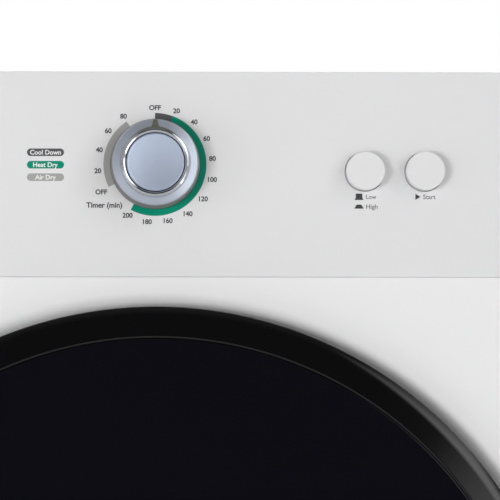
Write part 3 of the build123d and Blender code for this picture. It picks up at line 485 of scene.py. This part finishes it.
def gloss_black():
    """Gloss moulded black ABS: nearly a mirror, with a haze of fine wipe marks."""
    made, tree, shader = surface("gloss moulded black ABS", 0.09)
    place = mottled(tree, shader, "060608", "080809", 14.0)
    smear = add(tree, "ShaderNodeTexNoise", {"Vector": place, "Scale": 45.0, "Detail": 5.0})
    rough = add(tree, "ShaderNodeMapRange", {"Value": smear.outputs[0], "To Min": 0.07, "To Max": 0.13})
    tree.links.new(rough.outputs[0], shader.inputs["Roughness"])
    return made


def tinted_glass_and_painted_shade():
    """Dark blue-grey tinted glass, made opaque: its solid deep tone is the tint plus painted shade for the
    unlit drum behind, under a clean reflection.
    """
    made, tree, shader = surface("dark tinted glass with painted shade", 0.03, IOR=1.5)
    mottled(tree, shader, "07070e", "090911", 5.0)
    return made


DOOR_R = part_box("door_outer_ring")[1].z - AXIS_Z
DOOR_WALL_R = DOOR_R - 2.6 * MM
BAND_R = door_high.z - AXIS_Z + 0.3 * MM
black_abs = gloss_black()


def door_ring_profile():
    """(radius, y) outline of the rim's section, run once round: corner, shoulder, band, step, back and wall.

    The corner is an arc of 1.5 mm, the shoulder one of 17 mm that is tangent to it and to the band, and the
    band leans back by 14 degrees towards the outside."""
    corner, shoulder, meet, lean, ledge = 1.5 * MM, 17 * MM, -55, 14, 0.9 * MM
    corner_centre = np.array([DOOR_R - corner, -233 * MM])
    small = arc(corner, *corner_centre, 0, meet, 8)
    way = np.array([np.cos(np.radians(meet)), np.sin(np.radians(meet))])
    large = arc(shoulder, *(corner_centre + (corner - shoulder) * way), meet, lean - 90, 12)[1:]
    band_end = (BAND_R + ledge, large[-1, 1] - np.tan(np.radians(lean)) * (large[-1, 0] - BAND_R - ledge))
    front = [band_end, (BAND_R, band_end[1] + 0.4 * MM), (BAND_R, -235.4 * MM)]
    step = softened([large[-1], *front], [0, 0.5 * MM, 0.3 * MM, 0], 6)[1:]
    inside = np.array([(206, -235.4), (206, -232.9), (222, -232.9), (226, -233)]) * MM
    wall = [(DOOR_WALL_R - 2.5 * MM, -228 * MM), (DOOR_WALL_R - 2.5 * MM, -206 * MM), (DOOR_WALL_R, -206 * MM),
            (DOOR_WALL_R, -210 * MM), (DOOR_R, -211.5 * MM)]
    return np.vstack([small, large, step, inside, wall])


door_ring = turned("door_rim_moulding", door_ring_profile(), DOOR_CENTRE, "door", black_abs)
POCKET = ((0.2155, -0.2305, AXIS_Z - 0.0485), (0.26, -0.211, AXIS_Z + 0.0485))
HINGE_NOTCH = ((-0.26, -0.2315, AXIS_Z - 0.042), (-0.204, -0.19, AXIS_Z + 0.042))
cut_out(door_ring, [POCKET, HINGE_NOTCH], black_abs)
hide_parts("door_outer_ring")


def pocket_liner():
    """Five walls of the finger pocket, 2 mm thick: a rounded box outline lofted from mouth to floor."""
    outline, ways = box_loop(-230 * MM, -211.5 * MM, AXIS_Z - 48 * MM, AXIS_Z + 48 * MM, 10, 40, 6)
    shares = np.array([0.0, 0.2, 0.8, 0.95, 1.0])
    depth = np.array([0.231, 0.227, 0.2185, 0.2165, 0.216])
    inset = -ways * 1.0 * MM
    rings = np.stack([np.column_stack([np.full(len(outline), x), *(outline + inset * (3 if k == 4 else s)).T])
                      for k, (x, s) in enumerate(zip(depth, shares))])
    points, faces = rings_to_mesh(rings)
    return points, faces + [list(range(4 * len(outline), 5 * len(outline)))]


liner = mesh_piece("door_finger_pocket", *pocket_liner(), "door", black_abs)
face_out(liner, (0.216, -0.22, AXIS_Z), (1, 0, 0))
thicken(liner, 1.5 * MM)

WINDOW_RISE = 11.0 * MM
WINDOW_RIM_T = 3.5 * MM
WINDOW_WALL = 2.5 * MM
WINDOW_TIP_Y = door_low.y


def window_profile():
    """The dome: y falls from the tip as R - sqrt(R^2 - r^2), R being the ball through rim and tip."""
    ball = (BAND_R ** 2 + WINDOW_RISE ** 2) / (2 * WINDOW_RISE)
    radius = (BAND_R - 0.5 * MM) * np.sqrt(np.linspace(1, 0, 40))
    front = WINDOW_TIP_Y + ball - np.sqrt(ball ** 2 - radius ** 2)
    edge_r, edge_y = radius[0], front[0]
    rim = softened([(edge_r - 2 * MM, edge_y), (edge_r, edge_y), (edge_r, edge_y + WINDOW_RIM_T)],
                   [0, 0.5 * MM, 0])[1:]
    return np.vstack([rim[::-1], np.column_stack([radius[1:-1], front[1:-1]]), [[1e-6, WINDOW_TIP_Y]]])


window = turned("door_window_glass", window_profile(), DOOR_CENTRE, "door", tinted_glass_and_painted_shade(), closed=False)
face_out(window, (0, WINDOW_TIP_Y, AXIS_Z), (0, -1, 0))
thicken(window, WINDOW_WALL)
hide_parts("door_window")

# -------------------------------------------------- timer knob
# Turned shapes on the timer's shaft: a flared skirt, lacquered satin silver, its side coloured a darker grey as
# painted shade; a black ring of painted shade under a chromed grip ring; a dished disc of satin metal inside
# them. A raised pointer on the skirt is pad-printed olive grey, and an olive arc at the top of the skirt's
# inner edge is a painted reflection.


def chrome_plate():
    """Bright chromed ABS: a mirror that shows the boxes as white arcs and the dark room between them."""
    made, tree, shader = surface("bright chrome plate", 0.08, Metallic=1.0)
    mottled(tree, shader, "dcdfe4", "e2e5ea", 30.0)
    return made


def spun_disc():
    """Face stamped from satin aluminium, with turning marks as rings 0.15 mm apart round its centre."""
    made, tree, shader = surface("satin spun aluminium", 0.46, Metallic=0.6)
    place = mottled(tree, shader, "c4d0e6", "ccd8ec", 40.0)
    to_centre = add(tree, "ShaderNodeMapping", {"Vector": place, "Location": (-KNOB[0], 0, -KNOB[1])})
    flat = add(tree, "ShaderNodeVectorMath", {0: to_centre.outputs[0], 1: (1, 0, 1)}, operation="MULTIPLY")
    radius = add(tree, "ShaderNodeVectorMath", {0: flat.outputs[0]}, operation="LENGTH")
    groove = add(tree, "ShaderNodeMath", {0: radius.outputs["Value"], 1: 2 * np.pi / (0.15 * MM)},
                 operation="MULTIPLY")
    wave = add(tree, "ShaderNodeMath", {0: groove.outputs[0]}, operation="SINE")
    bump = add(tree, "ShaderNodeBump", {"Height": wave.outputs[0], "Distance": 0.000004, "Strength": 0.25})
    tree.links.new(bump.outputs[0], shader.inputs["Normal"])
    return made


def mm(*values):
    """Numbers, or (radius, y) pairs, in millimetres as an array in metres."""
    return np.array(values, float) * MM


# Satin silver lacquer over ABS: fine metal flake, so a soft sheen with a faint sparkle.
skirt_lacquer = toned("satin silver lacquer on ABS", 0.36, "bcc4d2", "c8cfdc", 3200.0, 5200.0, 0.000006,
                      Metallic=0.7)
chrome = chrome_plate()
KNOB_STEPS = 240
SKIRT = mm((25.5, -216), (24.6, -234.6), (23.9, -235.7), (20.0, -236.8), (19.5, -237.2), (3.1, -236.9),
           (3.1, -217), (7, -217), (7, -233), (22.6, -233), (23.6, -216))
skirt = turned("timer_knob_skirt_lacquered", softened(SKIRT, mm(0.3, 0.8, 0.9, 0.3, *[0] * 7), 7),
               KNOB, "timer_knob", skirt_lacquer, KNOB_STEPS)
# The skirt's side wall: faces outside SIDE_R and behind SIDE_Y, which get the painted shade below.
SIDE_R, SIDE_Y = 24.3 * MM, -235.2 * MM
centres = np.array([face.center for face in skirt.data.polygons])
painted_shade_side = (np.hypot(centres[:, 0] - KNOB[0], centres[:, 2] - KNOB[1]) > SIDE_R) & (centres[:, 1] > SIDE_Y)
# Painted shade: the skirt's side wall is coloured a darker warm grey, standing for the shadow that falls on it.
skirt.data.materials.append(toned("warm grey painted shade on skirt side", 0.5, "6f6c6b", "777473", 80.0, 3000.0, 0.000006, 0.4))
skirt.data.polygons.foreach_set("material_index", painted_shade_side.astype(np.int32))
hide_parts("timer_knob_skirt")

RING = mm((19.2, -237.1), (19.2, -238.35), (18.0, -238.95), (16.9, -238.5), (16.9, -237.1))
grip_ring = turned("timer_knob_chrome_ring", softened(RING, mm(0, 0.15, 0.25, 0.15, 0), 9),
                   KNOB, "timer_knob", chrome, KNOB_STEPS)

GROOVE = mm((19.7, -236.9), (19.6, -237.15), (16.2, -237.15), (16.2, -236.9))
# Painted shade: a dull black ring under the grip ring stands for the shadow in the deep gaps, seen as a fine
# dark line on both sides of it.
groove_shade_paint = toned("black painted shade in knob groove", 0.7, "060606", "0b0b0b", 600.0, 3000.0, 0.000008)
groove_ring = turned("timer_knob_groove", GROOVE, KNOB, "timer_knob", groove_shade_paint, KNOB_STEPS)

FACE = mm((0.001, -237), (16.3, -237), (16.25, -239.4), (15.7, -240), (15.0, -239.7), (8, -238.5),
          (0.001, -238.0))
face_disc = turned("timer_knob_face", softened(FACE, mm(0, 0, 0.3, 0.5, 0.4, 4, 0), 9), KNOB, "timer_knob",
                   spun_disc(), KNOB_STEPS)
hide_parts("timer_knob_cap")


def grid_faces(rows, columns):
    """Quads between neighbouring points of a grid that holds rows times columns points, row after row."""
    i, j = np.meshgrid(np.arange(rows - 1), np.arange(columns - 1), indexing="ij")
    first = i * columns + j
    return np.stack([first, first + 1, first + columns + 1, first + columns], axis=-1).reshape(-1, 4).tolist()


def pointer_surface():
    """A raised tab on the skirt: at share u from the ring to the skirt's edge, its half width is
    1.15 + 0.9 * (1 - u) + 0.65 * (1 - u)^6 mm, and its top stands 0.3 mm up with its sides rounded down."""
    u, v = np.meshgrid(np.linspace(0, 1, 30), np.linspace(-1, 1, 17), indexing="ij")
    half = (1.15 + 0.9 * (1 - u) + 0.65 * (1 - u) ** 6) * MM
    radius = (19.7 + 4.6 * u) * MM
    lift = 0.3 * MM * (1 - np.abs(v) ** 8) * np.clip((1 - u) * 12, 0, 1) ** 0.5
    fall = 0.7 * MM * np.clip((u - 0.9) / 0.1, 0, 1) ** 2
    points = np.stack([KNOB[0] + half * v, (-236.9 + 1.25 * u) * MM - lift + fall, KNOB[1] + radius], axis=-1)
    return points.reshape(-1, 3), grid_faces(*u.shape)


# Pad-printed olive grey paint, flat and slightly toothed; the same material paints the reflection arc on the
# skirt's inner edge.
olive_print_and_reflection = toned("olive grey pad print and painted reflection", 0.5, "55564c", "5f6055", 900.0, 4000.0, 0.000005, 0.4)
pointer = mesh_piece("timer_knob_pointer", *pointer_surface(), "timer_knob", olive_print_and_reflection)
face_out(pointer, (KNOB[0], -0.236, KNOB[1] + 0.022), (0, -1, 0))
thicken(pointer, 0.3 * MM)


def reflection_arc_surface():
    """A painted reflection round the skirt's inner edge at the top: at angle t from the top, it spans from 19
    mm to 19 + 1.1 * cos(1.5 t) mm."""
    turn, share = np.meshgrid(np.radians(np.linspace(-58, 58, 90)), np.linspace(0, 1, 4), indexing="ij")
    radius = (19.0 + 1.1 * share * np.cos(1.5 * turn)) * MM
    points = np.stack([KNOB[0] + radius * np.sin(turn), np.full_like(radius, -237.3 * MM),
                       KNOB[1] + radius * np.cos(turn)], axis=-1)
    return points.reshape(-1, 3), grid_faces(*turn.shape)


# Painted reflection: an olive arc on the skirt's inner edge, in the print's colour, not a print itself.
collar = mesh_piece("timer_knob_painted_reflection_arc", *reflection_arc_surface(), "timer_knob", olive_print_and_reflection)
face_out(collar, (KNOB[0], -0.237, KNOB[1] + 0.02), (0, -1, 0))
thicken(collar, 0.06 * MM)

# -------------------------------------------------- push buttons
# Two white ABS caps that slide in the panel's guide tubes, each with a rounded rim round a flat face.


def push_button(name, centre, node):
    """A cap turned from its outline: side, rim roll and a face that sinks 0.15 mm to its middle."""
    outline = mm((0.001, -225.85), (8.8, -225.9), (11.0, -226.0), (11.0, -201.2), (3.0, -201), (3.0, -188),
                 (0.001, -188))
    rounded = softened(outline, [0, 2 * MM, 1.1 * MM, 0.3 * MM, 0, 0.3 * MM, 0], 9)
    cap = turned(name, rounded, centre, node, white_abs, 160)
    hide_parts(node)


push_button("heat_button_cap", HEAT_BUTTON, "heat_button")
push_button("start_button_cap", START_BUTTON, "start_button")

# -------------------------------------------------- panel printing
# Screen-printed inks on the moulding, 0.03 mm thick: the dial's three coloured scales, its minutes, the words
# for the three programmes on rounded patches, and the legends and signs under the buttons.
INK_T = 0.03 * MM
INK_Y = FRONT_Y - 0.01 * MM
CAP_HEIGHT = 2.6 * MM


def ink(name, low, high):
    """Screen-printed ink: matt, with a slight tooth from the mesh."""
    return toned(name, 0.75, low, high, 700.0, 6000.0, 0.000004, 0.4, Specular_IOR_Level=0.25)


def letter_mesh(text, weight=0.0):
    """Points (N, 3) and faces of a word one unit high before scaling, lying in its own XY plane."""
    curve = bpy.data.curves.new("word", "FONT")
    curve.body, curve.size, curve.offset, curve.resolution_u = text, 1.0, weight, 5
    word = bpy.data.objects.new("word", curve)
    bpy.context.scene.collection.objects.link(word)
    flat = bpy.data.meshes.new_from_object(word.evaluated_get(bpy.context.evaluated_depsgraph_get()))
    points = np.empty(len(flat.vertices) * 3, np.float32)
    flat.vertices.foreach_get("co", points)
    faces = [list(p.vertices) for p in flat.polygons]
    bpy.data.objects.remove(word)
    bpy.data.meshes.remove(flat)
    return points.reshape(-1, 3).astype(float), faces


CAPITAL = letter_mesh("H")[0][:, 1].max()


def word(text, x, z, cap=CAP_HEIGHT, weight=0.0, lift=0.0):
    """A word centred at (x, z) on the panel: its x goes to x, its y to z, and capitals are cap high."""
    points, faces = letter_mesh(text, weight)
    scale = cap / CAPITAL
    middle = (points[:, 0].min() + points[:, 0].max()) / 2
    placed = np.column_stack([x + (points[:, 0] - middle) * scale,
                              np.full(len(points), INK_Y - INK_T - lift),
                              z + (points[:, 1] - CAPITAL / 2) * scale])
    return placed, faces


def sector(inner, outer, start, end):
    """Part of a flat ring: angles clockwise from the top, radii in millimetres, round the knob's axis."""
    turn, radius = np.meshgrid(np.radians(np.linspace(start, end, max(3, int(abs(end - start))))),
                               np.linspace(inner, outer, 3) * MM)
    points = np.stack([KNOB[0] + radius * np.sin(turn), np.full_like(turn, INK_Y - INK_T),
                       KNOB[1] + radius * np.cos(turn)], axis=-1)
    return points.reshape(-1, 3), grid_faces(*turn.shape)


def patch(x, z, width, height):
    """A strip with round ends: a circle as high as the strip, with its halves moved apart to the width."""
    turn = np.radians(np.linspace(0, 360, 48, endpoint=False))
    side = np.sign(np.cos(turn)) * (width - height) / 2
    edge = np.column_stack([x + side + height / 2 * np.cos(turn), np.full(len(turn), INK_Y - INK_T),
                            z + height / 2 * np.sin(turn)])
    return edge, [list(range(len(turn)))]


def polygon(corners, x, z):
    """A flat sign from its corners in millimetres round (x, z)."""
    corners = np.array(corners) * MM
    return np.column_stack([x + corners[:, 0], np.full(len(corners), INK_Y - INK_T), z + corners[:, 1]]), \
        [list(range(len(corners)))]


def printed(name, parts, material):
    """One print of one ink from flat parts, all facing the front, with the ink's thickness behind them."""
    piece = mesh_piece(name, *join_parts(parts), "cabinet", material, smooth=False)
    work = bmesh.new()
    work.from_mesh(piece.data)
    bmesh.ops.dissolve_degenerate(work, dist=0.001 * MM, edges=work.edges)
    for face in work.faces:
        if face.normal.y > 0:
            face.normal_flip()
    work.to_mesh(piece.data)
    work.free()
    thicken(piece, INK_T, even=False)


def round_dial(radius, angle):
    """The point at a clock angle and a radius in millimetres from the knob's axis."""
    return KNOB[0] + radius * MM * np.sin(np.radians(angle)), KNOB[1] + radius * MM * np.cos(np.radians(angle))


dark_ink = ink("dark grey screen ink", "414143", "4a4a4c")
charcoal_ink = ink("charcoal screen ink", "545456", "5c5c5e")
grey_ink = ink("light grey screen ink", "a1a19f", "a8a8a6")
green_ink = ink("green screen ink", "008a6e", "008f73")
legend_ink = ink("mid grey screen ink", "6c6d70", "747578")
pale_ink = ink("white screen ink", "ececec", "f2f2f2")
SCALE = (25.3, 29.2)
printed("dial_cool_down_scale", [sector(*SCALE, 0, 20)], charcoal_ink)
printed("dial_heat_dry_scale", [sector(*SCALE, 20, 208)], green_ink)
printed("dial_air_dry_scale", [sector(*SCALE, 244, 326.5)], grey_ink)

MINUTE_STEP = 20.7
BOLD = 0.032
heat_labels = [word(str(20 * k), *round_dial(32.8 + 0.9 * (4 < k < 8), 1.2 + MINUTE_STEP * k), weight=BOLD)
               for k in range(1, 11)]
air_labels = [word(str(20 * k), *round_dial(32.6, 242.4 + 21.1 * k), weight=BOLD) for k in range(1, 5)]
stops = [word("OFF", *round_dial(32.2, 0), weight=BOLD), word("OFF", *round_dial(34.2, 242.7), weight=BOLD)]
title = word("Timer (min)", KNOB[0] - 28.7 * MM, KNOB[1] - 23.1 * MM, 2.85 * MM, weight=0.028)
printed("dial_minutes", heat_labels + air_labels + stops + [title], dark_ink)

PATCH_X = KNOB[0] - 62 * MM
PATCH_PITCH = 7.07 * MM
PROGRAMMES = (("cool_down", "Cool Down", charcoal_ink, 1), ("heat_dry", "Heat Dry", green_ink, 0),
              ("air_dry", "Air Dry", grey_ink, -1))
for name, text, colour, step in PROGRAMMES:
    height = KNOB[1] - 0.3 * MM + step * PATCH_PITCH
    printed(f"patch_{name}", [patch(PATCH_X, height, 21 * MM, 4.3 * MM)], colour)
    printed(f"patch_{name}_words", [word(text, PATCH_X, height, 2.5 * MM, weight=0.02, lift=INK_T)], pale_ink)

LEGEND_Z = 609.1 * MM
LEGEND_STEP = 5.6 * MM
out_sign = polygon([(-2.6, -1.8), (2.6, -1.8), (1.9, -0.7), (1.85, 1.8), (-1.85, 1.8), (-1.9, -0.7)],
                   HEAT_BUTTON[0] - 3.3 * MM, LEGEND_Z)
in_sign = polygon([(-2.65, -1.15), (2.65, -1.15), (1.7, 0.6), (1.2, 1.15), (-1.2, 1.15), (-1.7, 0.6)],
                  HEAT_BUTTON[0] - 3.3 * MM, LEGEND_Z - LEGEND_STEP)
start_sign = polygon([(-1.45, -1.75), (1.45, 0), (-1.45, 1.75)], START_BUTTON[0] - 3.8 * MM, LEGEND_Z)
printed("button_signs", [out_sign, in_sign, start_sign], dark_ink)
LIGHT = 0.012
button_words = [word("Low", HEAT_BUTTON[0] + 3.6 * MM, LEGEND_Z, 2.3 * MM, weight=LIGHT),
                word("High", HEAT_BUTTON[0] + 4.0 * MM, LEGEND_Z - LEGEND_STEP, 2.5 * MM, weight=LIGHT),
                word("Start", START_BUTTON[0] + 2.7 * MM, LEGEND_Z, 2.5 * MM, weight=LIGHT)]
printed("button_words", button_words, legend_ink)

# -------------------------------------------------- cabinet sheet metal
# The sides and top are white enamelled steel like the front. The base pan, rear panel and access cover stay
# bare: hot-dip galvanised sheet, whose zinc froze into a faint pattern of angular crystals. Edges have a round
# of 0.2 or 0.3 mm, save the rear panel's, which stay sharp.


def galvanised():
    """Hot-dip galvanised steel: crystals of 6 mm that differ a little in tone and in roughness."""
    made, tree, shader = surface("hot-dip galvanised sheet", 0.42, Metallic=1.0)
    place = add(tree, "ShaderNodeTexCoord").outputs["Object"]
    bent = add(tree, "ShaderNodeTexNoise", {"Vector": place, "Scale": 90.0, "Detail": 2.0})
    push = add(tree, "ShaderNodeMix", {0: 0.012, 4: place, 5: bent.outputs["Color"]}, data_type="VECTOR")
    crystal = add(tree, "ShaderNodeTexVoronoi", {"Vector": push.outputs[1], "Scale": 160.0})
    tone = add(tree, "ShaderNodeSeparateColor", {0: crystal.outputs["Color"]})
    shade = add(tree, "ShaderNodeMix", {0: tone.outputs[0], 6: srgb("a9adb1"), 7: srgb("bfc2c5")},
                data_type="RGBA")
    tree.links.new(shade.outputs[2], shader.inputs["Base Color"])
    rough = add(tree, "ShaderNodeMapRange", {"Value": tone.outputs[1], "To Min": 0.34, "To Max": 0.5})
    tree.links.new(rough.outputs[0], shader.inputs["Roughness"])
    return made


def dress(material, *nodes, bevel=0.0):
    """Gives CAD nodes their material, and their sharp edges a small round of the given width in metres."""
    for node in nodes:
        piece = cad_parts[node]
        for holder in piece.material_slots:
            holder.material = material
        if bevel:
            edge = piece.modifiers.new("edge", "BEVEL")
            edge.width, edge.segments, edge.limit_method, edge.angle_limit = bevel, 2, "ANGLE", np.radians(40)
            edge.harden_normals = True


zinc_sheet = galvanised()
dress(white_enamel, "left_side_panel", "right_side_panel", "top_panel", bevel=0.3 * MM)
dress(zinc_sheet, "base_pan", "rear_access_cover", "motor_bracket", "heater_housing", bevel=0.2 * MM)
dress(zinc_sheet, "rear_panel")

# -------------------------------------------------- feet, gland and screws
# Four moulded rubber feet, the front two on studs; a nylon bush for the lead; pan-head screws in zinc plated
# steel.


def moulded(name, low, high, roughness, scale, height):
    """Moulded plastic or rubber: a fine even texture and a slight drift of tone."""
    return toned(name, roughness, low, high, 40.0, scale, height)


# Bright zinc plating with a faint yellow passivation and rolling marks.
zinc = toned("bright zinc plated steel", 0.3, "b9b9b4", "c9c8c0", 120.0, 1800.0, 0.000008, Metallic=1.0)
rubber = moulded("moulded black rubber", "1c1c1d", "262627", 0.75, 1500.0, 0.00003)
black_nylon = moulded("moulded black nylon", "141415", "1b1b1c", 0.5, 1800.0, 0.00001)
grey_nylon = moulded("moulded grey nylon", "a3a4a2", "adaeac", 0.45, 1800.0, 0.00001)
dress(rubber, "rear_feet", "front_left_foot", "front_right_foot", bevel=0.6 * MM)
dress(black_nylon, "cord_gland", "heat_switch", "start_switch", "door_switch", bevel=0.3 * MM)
dress(zinc, "cabinet_screws", "door_screws", "timer_shaft", "main_shaft", "door_hinge_leaf", "hinge_bracket",
      "idler_arm", "motor_rotor", bevel=0.2 * MM)
dress(grey_nylon, "timer_body", "door_latch_hook", "latch_catch", "terminal_block", "idler_pulley",
      bevel=0.3 * MM)

# -------------------------------------------------- back of the door
# A grey ABS frame screwed to the rim, a clear pressed bowl that the clothes slide off, and a soft silicone ring
# that closes the gap to the front panel.


# Clear pressed glass with a slight green cast and gentle waves from the mould.
bowl_glass = toned("clear pressed glass", 0.03, "e8f0ee", "eef4f2", 12.0, 25.0, 0.0001, 0.2,
                   Transmission_Weight=0.95, IOR=1.5)
grey_abs = moulded("moulded grey ABS", "8f9193", "97999b", 0.42, 2200.0, 0.00001)
dress(grey_abs, "door_inner_frame", bevel=0.4 * MM)
dress(bowl_glass, "door_inner_bowl")
dress(moulded("soft grey silicone", "4a4b4d", "545557", 0.55, 900.0, 0.00002), "door_seal", bevel=0.4 * MM)

# -------------------------------------------------- drum and its supports
# Rolled stainless shell and pressed back, brushed round the drum; white polypropylene lifters; a cast hub.
# The drum rides on strips of pressed wool felt glued to galvanised bulkheads.


def stainless():
    """Stainless sheet, brushed round the drum: grain that is short along Y and long round the wall."""
    made, tree, shader = surface("brushed stainless steel", 0.3, Metallic=1.0)
    place = add(tree, "ShaderNodeTexCoord").outputs["Object"]
    long_way = add(tree, "ShaderNodeMapping", {"Vector": place, "Scale": (14, 1600, 14)})
    grain = add(tree, "ShaderNodeTexNoise", {"Vector": long_way.outputs[0], "Scale": 1.0, "Detail": 3.0})
    shade = add(tree, "ShaderNodeMix", {0: grain.outputs[0], 6: srgb("a8a9aa"), 7: srgb("bcbdbe")},
                data_type="RGBA")
    tree.links.new(shade.outputs[2], shader.inputs["Base Color"])
    rough = add(tree, "ShaderNodeMapRange", {"Value": grain.outputs[0], "To Min": 0.22, "To Max": 0.4})
    tree.links.new(rough.outputs[0], shader.inputs["Roughness"])
    bump = add(tree, "ShaderNodeBump", {"Height": grain.outputs[0], "Distance": 0.00001, "Strength": 0.4})
    tree.links.new(bump.outputs[0], shader.inputs["Normal"])
    return made


# Die-cast aluminium: dull skin with a pebbled mould texture.
cast = toned("die-cast aluminium", 0.5, "a3a5a7", "b3b5b7", 60.0, 700.0, 0.00004, Metallic=1.0)
# Wool felt: matted fibres, so a rough soft surface of mixed greys with a little sheen.
felt = toned("pressed wool felt", 0.95, "4f4a45", "6e6860", 700.0, 1400.0, 0.0003, 0.9, 6.0,
             Sheen_Weight=0.3, Sheen_Roughness=0.6)
white_pp = moulded("moulded white polypropylene", "d6d8d8", "dddfdf", 0.4, 1600.0, 0.00001)
dress(stainless(), "drum_shell", "drum_back")
dress(cast, "drum_hub", "motor_housing", "fan_drive_pulley", "fan_pulley", bevel=0.3 * MM)
dress(white_pp, "drum_baffles", bevel=1.0 * MM)
dress(felt, "front_felt_seal", "rear_felt_seal")
dress(zinc_sheet, "front_bulkhead", "rear_bulkhead")

# -------------------------------------------------- lint filter
# A blue polypropylene ring with a grip bar, and a woven polyester net welded behind its spokes.


def woven_net():
    """Polyester net: threads 1 mm apart along X and Z, light where a thread stands up and dark in the holes."""
    made, tree, shader = surface("woven polyester net", 0.7)
    place = add(tree, "ShaderNodeTexCoord").outputs["Object"]
    across = add(tree, "ShaderNodeTexWave", {"Vector": place, "Scale": 314.0}, bands_direction="X")
    upward = add(tree, "ShaderNodeTexWave", {"Vector": place, "Scale": 314.0}, bands_direction="Z")
    thread = add(tree, "ShaderNodeMath", {0: across.outputs["Fac"], 1: upward.outputs["Fac"]},
                 operation="MAXIMUM")
    shade = add(tree, "ShaderNodeMix", {0: thread.outputs[0], 6: srgb("4d5256"), 7: srgb("b9c0c6")},
                data_type="RGBA")
    tree.links.new(shade.outputs[2], shader.inputs["Base Color"])
    bump = add(tree, "ShaderNodeBump", {"Height": thread.outputs[0], "Distance": 0.0001, "Strength": 0.8})
    tree.links.new(bump.outputs[0], shader.inputs["Normal"])
    return made


dress(moulded("moulded blue polypropylene", "3f6f9f", "4577a8", 0.42, 1600.0, 0.00001), "lint_filter_frame",
      bevel=0.3 * MM)
dress(woven_net(), "lint_filter_mesh")

# -------------------------------------------------- air path
# Dark grey polypropylene fan case, cover with exhaust collar, and blower wheel; a heater of aluminium fins.
dark_pp = moulded("moulded dark grey polypropylene", "4b4d4f", "545658", 0.45, 1600.0, 0.00001)
dress(dark_pp, "fan_housing", "fan_housing_cover", "fan_wheel", bevel=0.3 * MM)
# Aluminium fin stock, bright and slightly wavy, with a heat tint towards straw.
fin_stock = toned("aluminium fin stock", 0.35, "b8b6b0", "c6c2b6", 50.0, 300.0, 0.00005, 0.4, Metallic=1.0)
dress(fin_stock, "heater_core", bevel=0.1 * MM)

# -------------------------------------------------- belts and wiring
# Ribbed rubber belts with a fabric back; a bundle of wires in a braided sleeve; a drawn aluminium capacitor.


def belt_rubber():
    """Belt back: rubberised fabric with a weave of 0.8 mm along the belt's width, dull."""
    made, tree, shader = surface("rubberised belt fabric", 0.65)
    place = mottled(tree, shader, "161616", "202021", 200.0)
    ribs = add(tree, "ShaderNodeTexWave", {"Vector": place, "Scale": 390.0}, bands_direction="Y")
    bump = add(tree, "ShaderNodeBump", {"Height": ribs.outputs["Fac"], "Distance": 0.0002, "Strength": 0.7})
    tree.links.new(bump.outputs[0], shader.inputs["Normal"])
    return made


def braided():
    """Braided sleeve: crossing diagonal yarns 1.5 mm apart."""
    made, tree, shader = surface("braided polyester sleeve", 0.6)
    place = add(tree, "ShaderNodeTexCoord").outputs["Object"]
    crossed = [add(tree, "ShaderNodeTexWave", {"Vector": add(tree, "ShaderNodeMapping", {
        "Vector": place, "Rotation": (turn, turn, 0)}).outputs[0], "Scale": 210.0}) for turn in (0.8, -0.8)]
    yarn = add(tree, "ShaderNodeMath", {0: crossed[0].outputs["Fac"], 1: crossed[1].outputs["Fac"]},
               operation="MAXIMUM")
    shade = add(tree, "ShaderNodeMix", {0: yarn.outputs[0], 6: srgb("111112"), 7: srgb("37383b")},
                data_type="RGBA")
    tree.links.new(shade.outputs[2], shader.inputs["Base Color"])
    bump = add(tree, "ShaderNodeBump", {"Height": yarn.outputs[0], "Distance": 0.0002, "Strength": 0.7})
    tree.links.new(bump.outputs[0], shader.inputs["Normal"])
    return made


dress(belt_rubber(), "drum_belt", "fan_belt")
dress(braided(), "wire_harness")
dress(cast, "run_capacitor", bevel=0.5 * MM)
